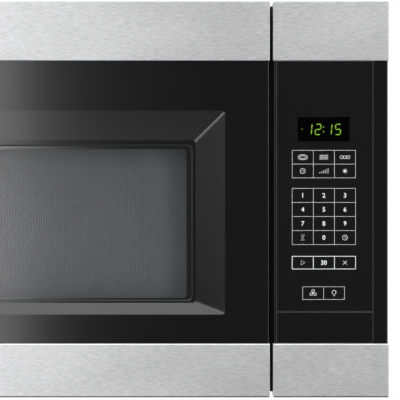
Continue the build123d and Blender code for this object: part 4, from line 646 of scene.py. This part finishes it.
# The lines of each sign, in millimetres from its middle
SIGNS = {
    "dish": [arc(0, 0, 5.0, 2.7), arc(0, 0, 3.1, 1.5)],
    "waves": [wave(y) for y in (-1.8, 0, 1.8)],
    "rings": [arc(x, 0, 1.6, 1.6) for x in (-3.6, 0, 3.6)],
    "clock": [arc(0, 0, 2.6, 2.6), [(0, 1.7), (0, 0), (1.3, -0.7)]],
    "bars": [[(step * 2.2, -2.4), (step * 2.2, step + 0.8)] for step in range(-2, 3)],
    "flake": spokes(0.0, 2.8, 6) + [arc(0, 0, 1.2, 1.2, 90, 450, 6)],
    "glass": [[(-1.9, 2.7), (1.9, 2.7), (-1.9, -2.7), (1.9, -2.7), (-1.9, 2.7)]],
    "play": [[(-1.7, 2.4), (2.4, 0), (-1.7, -2.4), (-1.7, 2.4)]],
    "cross": [[(-2.1, 2.1), (2.1, -2.1)], [(-2.1, -2.1), (2.1, 2.1)]],
    "fan": [arc(0, 0, 0.7, 0.7)] + [arc(x, y, 1.4, 1.4) for (_, _), (x, y) in spokes(0.0, 2.3, 3)],
    "bulb": [arc(0, 0.8, 2.1, 2.1, -60, 240, 16), [(-0.9, -1.9), (0.9, -1.9)], [(-0.6, -2.8), (0.6, -2.8)]],
}

# Blocks of keys on the panel, in millimetres: left, top, width and height of one key. Then how much heavier than the
# plain line its outline is, and the marks on its keys.
BLOCKS = (
    (277.7, 51.65, 22.27, 14.5, 1.0, (("dish", "waves", "rings"), ("clock", "bars", "flake"))),
    (277.7, 11.55, 22.27, 14.82, 1.0, (("1", "2", "3"), ("4", "5", "6"), ("7", "8", "9"), ("glass", "0", "clock"))),
    (277.7, -60.1, 22.27, 13.3, 2.1, (("play", "30", "cross"),)),
    (288.8, -92.15, 22.0, 13.4, 1.0, (("fan", "bulb"),)),
)


# ------------------------------------------------------------------ steps
class OVEN_OT_bands(bpy.types.Operator):
    """Brushed stainless bands along the door and the control panel"""

    bl_idname = "oven.bands"
    bl_label = "Stainless Bands"

    def execute(self, context):
        looks = context.scene.oven_looks
        material = stainless(looks)
        for node in ("door_top_band", "door_bottom_band", "control_top_band", "control_bottom_band"):
            soften(node + "_brushed", node, material, looks.fold)
        return {"FINISHED"}


class OVEN_OT_door_front(bpy.types.Operator):
    """Gloss moulding of the door with softened edges round the window recess"""

    bl_idname = "oven.door_front"
    bl_label = "Door Front"

    def execute(self, context):
        looks = context.scene.oven_looks
        soften("door_front", "door_panel", gloss_moulding("door_gloss_black", looks.black), looks.edge)
        return {"FINISHED"}


class OVEN_OT_window(bpy.types.Operator):
    """Tinted pane with its printed border, perforated screen and clear film"""

    bl_idname = "oven.window"
    bl_label = "Door Window"

    def execute(self, context):
        looks = context.scene.oven_looks
        dress(tinted_pane(), "window_pane")
        dress(screen_steel(looks), "perforated_screen")
        dress(glass("clear_film", (0.85, 0.86, 0.87), 0.1), "inner_film")
        return {"FINISHED"}


class OVEN_OT_control_panel(bpy.types.Operator):
    """Moulded panel, keypad overlay, lower insert and display window"""

    bl_idname = "oven.control_panel"
    bl_label = "Control Panel"

    def execute(self, context):
        looks = context.scene.oven_looks
        overlay = gloss_moulding("overlay_black", looks.black, 0.18)
        soften("panel_moulding", "control_bezel", gloss_moulding("panel_gloss_black", looks.black), looks.edge)
        soften("overlay_film", "keypad_overlay", overlay, looks.film_edge)
        soften("insert_plate", "lower_insert", overlay, looks.film_edge)
        lens = glass("smoked_lens", (0.0005, 0.0005, 0.0005), 0.8, 0.1, Specular_IOR_Level=0.08)
        dress(lens, "display_window")
        return {"FINISHED"}


class OVEN_OT_key_print(bpy.types.Operator):
    """Printed key outlines, numbers and plain signs"""

    bl_idname = "oven.key_print"
    bl_label = "Key Print"

    def execute(self, context):
        looks = context.scene.oven_looks
        ink = Finish("screen_print", looks.ink, 0.5, Specular_IOR_Level=0.25)
        ink.shade(ink.noise(500, 500, 500), 0.06)
        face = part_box("keypad_overlay")[0].y
        outlines, numbers, signs = bmesh.new(), bmesh.new(), bmesh.new()
        for left, top, wide, tall, weight, rows in BLOCKS:
            lattice(outlines, left * MM, top * MM, wide * MM, tall * MM, len(rows[0]), len(rows), looks.line * weight)
            for row, marks in enumerate(rows):
                for column, mark in enumerate(marks):
                    centre = ((left + (column + 0.5) * wide) * MM, (top - (row + 0.5) * tall) * MM)
                    if mark in SIGNS:
                        for line in SIGNS[mark]:
                            stroke(signs, line, centre, looks.sign_line)
                    else:
                        figure(numbers, mark, centre, looks.number_height)
        for name, shape in (("key_outlines", outlines), ("key_numbers", numbers), ("key_signs", signs)):
            stand_up(shape, face)
            make_piece(name, shape, "keypad_overlay", ink.material)
        self.painted_edge_highlights(looks)
        return {"FINISHED"}

    def painted_edge_highlights(self, looks):
        """Painted highlights: pale hairlines where the overlay and the insert meet the moulding, standing for the
        light their edges catch.
        """
        # Painted highlight: a pale line in place of the light caught by the overlay's and the insert's edges
        pale = Finish("pale_seam", (0.03, 0.03, 0.031), 0.35)
        pale.shade(pale.noise(90, 90, 90), 0.3)
        for node in ("keypad_overlay", "lower_insert"):
            low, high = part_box(node)
            shape = bmesh.new()
            inset = looks.seam / 2
            lattice(shape, low.x + inset, high.z - inset, high.x - low.x - looks.seam, high.z - low.z - looks.seam,
                    1, 1, looks.seam)
            stand_up(shape, low.y)
            make_piece(node + "_seam", shape, node, pale.material)


class OVEN_OT_display(bpy.types.Operator):
    """Seven-segment digits behind the smoked display window"""

    bl_idname = "oven.display"
    bl_label = "Display Digits"

    # Segments lit for each digit: top, upper right, lower right, bottom, lower left, upper left, middle
    LIT = {"1": "0110000", "2": "1101101", "5": "1011011"}
    # Middle of each segment in half widths and half heights from the digit's middle, and whether it stands
    SEGMENTS = ((0, 1, False), (1, 0.5, True), (1, -0.5, True), (0, -1, False), (-1, -0.5, True), (-1, 0.5, True),
                (0, 0, False))
    # Each digit of the time and its middle along X, in millimetres
    TIME = (("1", 295.7), ("2", 305.2), ("1", 316.8), ("5", 326.2))
    MIDDLE = 73.85 * MM                                             # height of the digits' middle
    COLON, COLON_SPREAD, COLON_DOT = 310.9 * MM, 0.2, 0.6 * MM      # its X, its dots' offset in digit heights, radius
    INDICATOR, INDICATOR_DOT = (288.4 * MM, 74.0 * MM), 0.45 * MM
    WIDE, THICK, GAP = 6.4 * MM, 0.95 * MM, 0.35 * MM               # of a digit, of a segment, between segments
    LEAN = 0.085                                                    # sideways for each unit of height
    BRIGHTNESS = 16.0                                               # makes up for the smoked window

    def execute(self, context):
        looks = context.scene.oven_looks
        lit = Finish("lit_digits", (0.04, 0.08, 0.01), 0.5, Emission_Strength=self.BRIGHTNESS)
        uneven = lit.noise(700, 700, 700)
        lit.feed("Emission Color", lit.mix(uneven, [channel * 0.85 for channel in looks.glow], looks.glow))
        shape = bmesh.new()
        for digit, middle in self.TIME:
            self.digit(shape, digit, (middle * MM, self.MIDDLE), looks.digit_height)
        for rise in (-self.COLON_SPREAD, self.COLON_SPREAD):
            self.dot(shape, (self.COLON, self.MIDDLE + rise * looks.digit_height), self.COLON_DOT)
        self.dot(shape, self.INDICATOR, self.INDICATOR_DOT)
        stand_up(shape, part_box("control_board")[0].y)
        make_piece("clock_digits", shape, "display_window", lit.material)
        return {"FINISHED"}

    def digit(self, shape, digit, centre, height):
        """Adds the lit segments of one digit, each a stretched hexagon."""
        half_wide, half_tall = (self.WIDE - self.THICK) / 2, (height - self.THICK) / 2
        tip = self.THICK / math.sqrt(3)
        slant = Matrix.Identity(4)
        slant[0][1] = self.LEAN
        for lit, (x, y, stands) in zip(self.LIT[digit], self.SEGMENTS):
            if lit == "1":
                half_long = (half_tall / 2 if stands else half_wide) - self.GAP
                made = bmesh.ops.create_circle(shape, cap_ends=True, segments=6, radius=tip)["verts"]
                for vert in made:
                    vert.co.x += math.copysign(half_long - tip, vert.co.x)
                turn = Matrix.Rotation(math.radians(90) if stands else 0.0, 4, "Z")
                place = Matrix.Translation((x * half_wide, y * half_tall, 0))
                matrix = Matrix.Translation((*centre, 0)) @ slant @ place @ turn
                bmesh.ops.transform(shape, matrix=matrix, verts=made)
                thicken(shape, faces_of(made))

    def dot(self, shape, centre, radius):
        """Adds a round lit dot."""
        made = bmesh.ops.create_circle(shape, cap_ends=True, segments=12, radius=radius)["verts"]
        bmesh.ops.translate(shape, vec=(*centre, 0), verts=made)
        thicken(shape, faces_of(made))


class OVEN_OT_cabinet(bpy.types.Operator):
    """Finishes of the painted case, the vents, the filters and the lamp under the oven"""

    bl_idname = "oven.cabinet"
    bl_label = "Cabinet"

    def execute(self, context):
        dress(painted("case_black", (0.022, 0.022, 0.023)), "outer_case", "rear_panel", "front_frame", "base_panel")
        dress(matte_moulding("grille_black", (0.018, 0.018, 0.018)), "vent_grille")
        dress(matte_moulding("inner_black", (0.015, 0.015, 0.015), 0.6), "choke_cover", "door_switches")
        smooth(matte_moulding("bushing_rubber", (0.02, 0.02, 0.02), 0.75), "cord_bushing")
        dress(mesh_aluminium("filter_mesh", (0.66, 0.66, 0.66)), "grease_filter_left", "grease_filter_right")
        dress(painted("lamp_cover_grey", (0.42, 0.42, 0.42)), "lamp_cover")
        clear = glass("pressed_glass", (0.82, 0.88, 0.86), 0.32, 0.15)
        dress(clear, "lamp_lens")
        smooth(clear, "glass_tray")
        smooth(glass("bulb_glass", (0.9, 0.87, 0.78), 0.6, 0.2), "cooktop_lamp")
        return {"FINISHED"}


class OVEN_OT_works(bpy.types.Operator):
    """Finishes of the oven liner and of the works inside the case"""

    bl_idname = "oven.works"
    bl_label = "Oven and Works"

    def execute(self, context):
        smooth(enamel("oven_enamel", (0.17, 0.169, 0.164)), "cavity_liner")
        dress(matte_moulding("mica_sheet", (0.6, 0.53, 0.4), 0.5), "port_cover")
        steel = plated("zinc_plated", (0.6, 0.61, 0.6))
        dress(steel, "waveguide", "blower_housing", "filter_rail", "damper_frame", "damper_flap", "cavity_lamp",
              "door_screws", "hinge_screws")
        smooth(steel, "door_chassis", "door_hinges", "turntable_motor", "capacitor")
        self.spring(steel)
        dress(layered("stamped_fins", (0.74, 0.74, 0.75), 0.0022, 0, 1.0, 0.35), "magnetron")
        laminations = layered("core_laminations", (0.1, 0.1, 0.11), 0.0006, 1, 0.6, 0.5)
        dress(laminations, "transformer_core")
        smooth(laminations, "blower_motor", "fan_motor")
        dress(layered("copper_wire", (0.5, 0.22, 0.09), 0.0014, 2, 0.8, 0.35), "transformer_windings")
        nylon = matte_moulding("natural_nylon", (0.74, 0.73, 0.69), 0.45)
        dress(nylon, "interlock_housing", "latch_bar", "roller_ring")
        smooth(nylon, "roller_rear", "roller_left", "roller_right", "tray_driver", "hinge_bushes")
        fan_black = matte_moulding("fan_black", (0.03, 0.03, 0.033))
        dress(fan_black, "fan_shroud")
        smooth(fan_black, "cooling_fan", "blower_wheels")
        board_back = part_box("control_board")[0].y + 14.5 * MM
        dress(circuit("solder_mask", (0.02, 0.12, 0.05), board_back), "control_board")
        dress(circuit("filter_board", (0.03, 0.13, 0.05)), "line_filter")
        dress(wadding("carbon_wadding", (0.03, 0.03, 0.03)), "charcoal_filter")
        return {"FINISHED"}

    def spring(self, material):
        """The latch spring, shaded smoothly, on a mesh of its own."""
        spring, = smooth(material, "latch_spring")
        low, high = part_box("latch_spring")
        travel = next(joint for joint in frame["joints"] if joint["name"] == "latch_slide")["range_m"][1]
        1 - travel / (high.z - low.z)
        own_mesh(spring)


class OVEN_OT_studio(bpy.types.Operator):
    """Pale floor, soft lamps, white surroundings and the camera"""

    bl_idname = "oven.studio"
    bl_label = "Studio"

    DISTANCE = 3.0                      # camera to the oven's front
    VIEW_WIDTH = 0.4216                 # width that the picture covers at the oven's front
    VIEW_CENTRE = (0.1805, -0.0007)     # X and height at the picture's middle
    FLOOR = -0.72
    FADE = (0.8, 1.5)                   # distances from the oven between which the floor turns white
    PALE_NEAR = 0.45                    # share of white in the floor nearer than that
    DIM_DEPTHS = (-2.4, -1.3)           # the floor that gloss mirrors dims from the second to the first
    DIM_SIDE = (-0.98, -0.75)           # and so do the surroundings, in directions on the camera's side
    DIM = 0.1                           # strength of what gloss mirrors there
    AMBIENT = 0.4                       # strength of the surroundings on matte surfaces
    POWER = 4                           # watts for each square metre of a lamp and unit of its brightness
    # Name, place, aim, width, height and brightness of each lamp
    LAMPS = (
        ("door_strip", (-0.20, -1.59, -0.05), (-0.20, -0.39, -0.05), 0.23, 1.3, 3.2),
        ("overhead", (0.1, -1.05, 1.5), (0.0, -0.35, 0.0), 1.6, 0.55, 1.7),
        ("overhead_left", (-0.62, -1.0, 1.45), (-0.1, -0.35, 0.0), 0.8, 0.55, 2.6),
        ("front_fill", (-0.1, -2.1, 1.15), (0.0, -0.35, 0.0), 1.8, 0.6, 1.4),
        ("right_fill", (1.25, -1.9, 0.2), (0.2, -0.3, 0.0), 0.5, 1.5, 4.5),
    )

    def execute(self, context):
        self.floor(context)
        self.world(context)
        for lamp in self.LAMPS:
            self.lamp(context, *lamp)
        self.camera(context)
        context.scene.view_settings.view_transform = "Standard"
        return {"FINISHED"}

    def floor(self, context):
        """A diffuse floor that keeps the shadow and turns white away from the oven."""
        shape = bmesh.new()
        bmesh.ops.create_grid(shape, x_segments=1, y_segments=1, size=30.0)
        bmesh.ops.translate(shape, vec=(0, 0, self.FLOOR), verts=shape.verts)
        mesh = bpy.data.meshes.new("studio_floor")
        shape.to_mesh(mesh)
        shape.free()
        pale = Finish("pale_floor", (0.86, 0.86, 0.86), 0.7, Specular_IOR_Level=0.1)
        pale.shade(pale.noise(1.5, 1.5, 1.5), 0.01)
        across, depth, _ = pale.axes()
        camera, glossy, through = pale.rays()
        far = reach(across, depth).between(*self.FADE)
        mirrored = depth.between(*self.DIM_DEPTHS) * (1 - self.DIM) + self.DIM
        white = pale.node("ShaderNodeEmission", values={"Strength": mirrored.maximum(camera.maximum(through))})
        shaded = Wire(pale, pale.shader.outputs[0])
        seen = far.maximum(camera * self.PALE_NEAR) * camera.maximum(glossy).maximum(through)
        mixed = pale.node("ShaderNodeMixShader", values={0: seen, 1: shaded, 2: white})
        pale.join(pale.tree.nodes["Material Output"].inputs["Surface"], mixed)
        mesh.materials.append(pale.material)
        floor = bpy.data.objects.new("studio_floor", mesh)
        context.scene.collection.objects.link(floor)

    def world(self, context):
        """White to the eye and through glass. What gloss mirrors is dimmer on the camera's side."""
        world = bpy.data.worlds.new("studio")
        world.use_nodes = True
        context.scene.world = world
        nodes = Nodes(world.node_tree)
        camera, glossy, through = nodes.rays()
        side = nodes.axes("Generated")[1].between(*self.DIM_SIDE)
        seen = camera.maximum(through)
        unseen = glossy * (side * (1 - self.DIM) - (self.AMBIENT - self.DIM)) + self.AMBIENT
        background = world.node_tree.nodes["Background"].inputs
        nodes.join(background["Strength"], seen + (1.0 - seen) * unseen)
        nodes.join(background["Color"], (1, 1, 1, 1))

    def lamp(self, context, name, place, target, wide, tall, brightness):
        """A soft rectangular lamp that the camera doesn't see."""
        light = bpy.data.lights.new(name, "AREA")
        light.shape = "RECTANGLE"
        light.size, light.size_y = wide, tall
        light.energy = self.POWER * wide * tall * brightness
        lamp = bpy.data.objects.new(name, light)
        lamp.location = place
        lamp.rotation_euler = (Vector(target) - Vector(place)).to_track_quat("-Z", "Y").to_euler()
        lamp.visible_camera = False
        context.scene.collection.objects.link(lamp)

    def camera(self, context):
        """A level camera square to the oven's front."""
        data = bpy.data.cameras.new("camera")
        data.sensor_width = 36.0
        data.lens = data.sensor_width * self.DISTANCE / self.VIEW_WIDTH
        data.clip_end = 100.0
        camera = bpy.data.objects.new("camera", data)
        camera.location = (self.VIEW_CENTRE[0], cad_box[0].y - self.DISTANCE, self.VIEW_CENTRE[1])
        camera.rotation_euler = (math.radians(90), 0, 0)
        context.scene.collection.objects.link(camera)
        context.scene.camera = camera


class OVEN_PT_panel(bpy.types.Panel):
    """Sizes, colours and steps of the oven"""

    bl_label = "Microwave"
    bl_space_type = "VIEW_3D"
    bl_region_type = "UI"
    bl_category = "Microwave"

    def draw(self, context):
        looks = context.scene.oven_looks
        for name in OvenLooks.__annotations__:
            self.layout.prop(looks, name)
        for step in STEPS:
            self.layout.operator(step.bl_idname)


STEPS = (OVEN_OT_bands, OVEN_OT_door_front, OVEN_OT_window, OVEN_OT_control_panel, OVEN_OT_key_print,
         OVEN_OT_display, OVEN_OT_cabinet, OVEN_OT_works, OVEN_OT_studio)
CLASSES = (OvenLooks, *STEPS, OVEN_PT_panel)


def register():
    for cls in CLASSES:
        bpy.utils.register_class(cls)
    bpy.types.Scene.oven_looks = PointerProperty(type=OvenLooks)


def unregister():
    del bpy.types.Scene.oven_looks
    for cls in reversed(CLASSES):
        bpy.utils.unregister_class(cls)


def main():
    register()
    for step in STEPS:
        group, name = step.bl_idname.split(".")
        getattr(getattr(bpy.ops, group), name)()


if __name__ == "__main__":
    main()
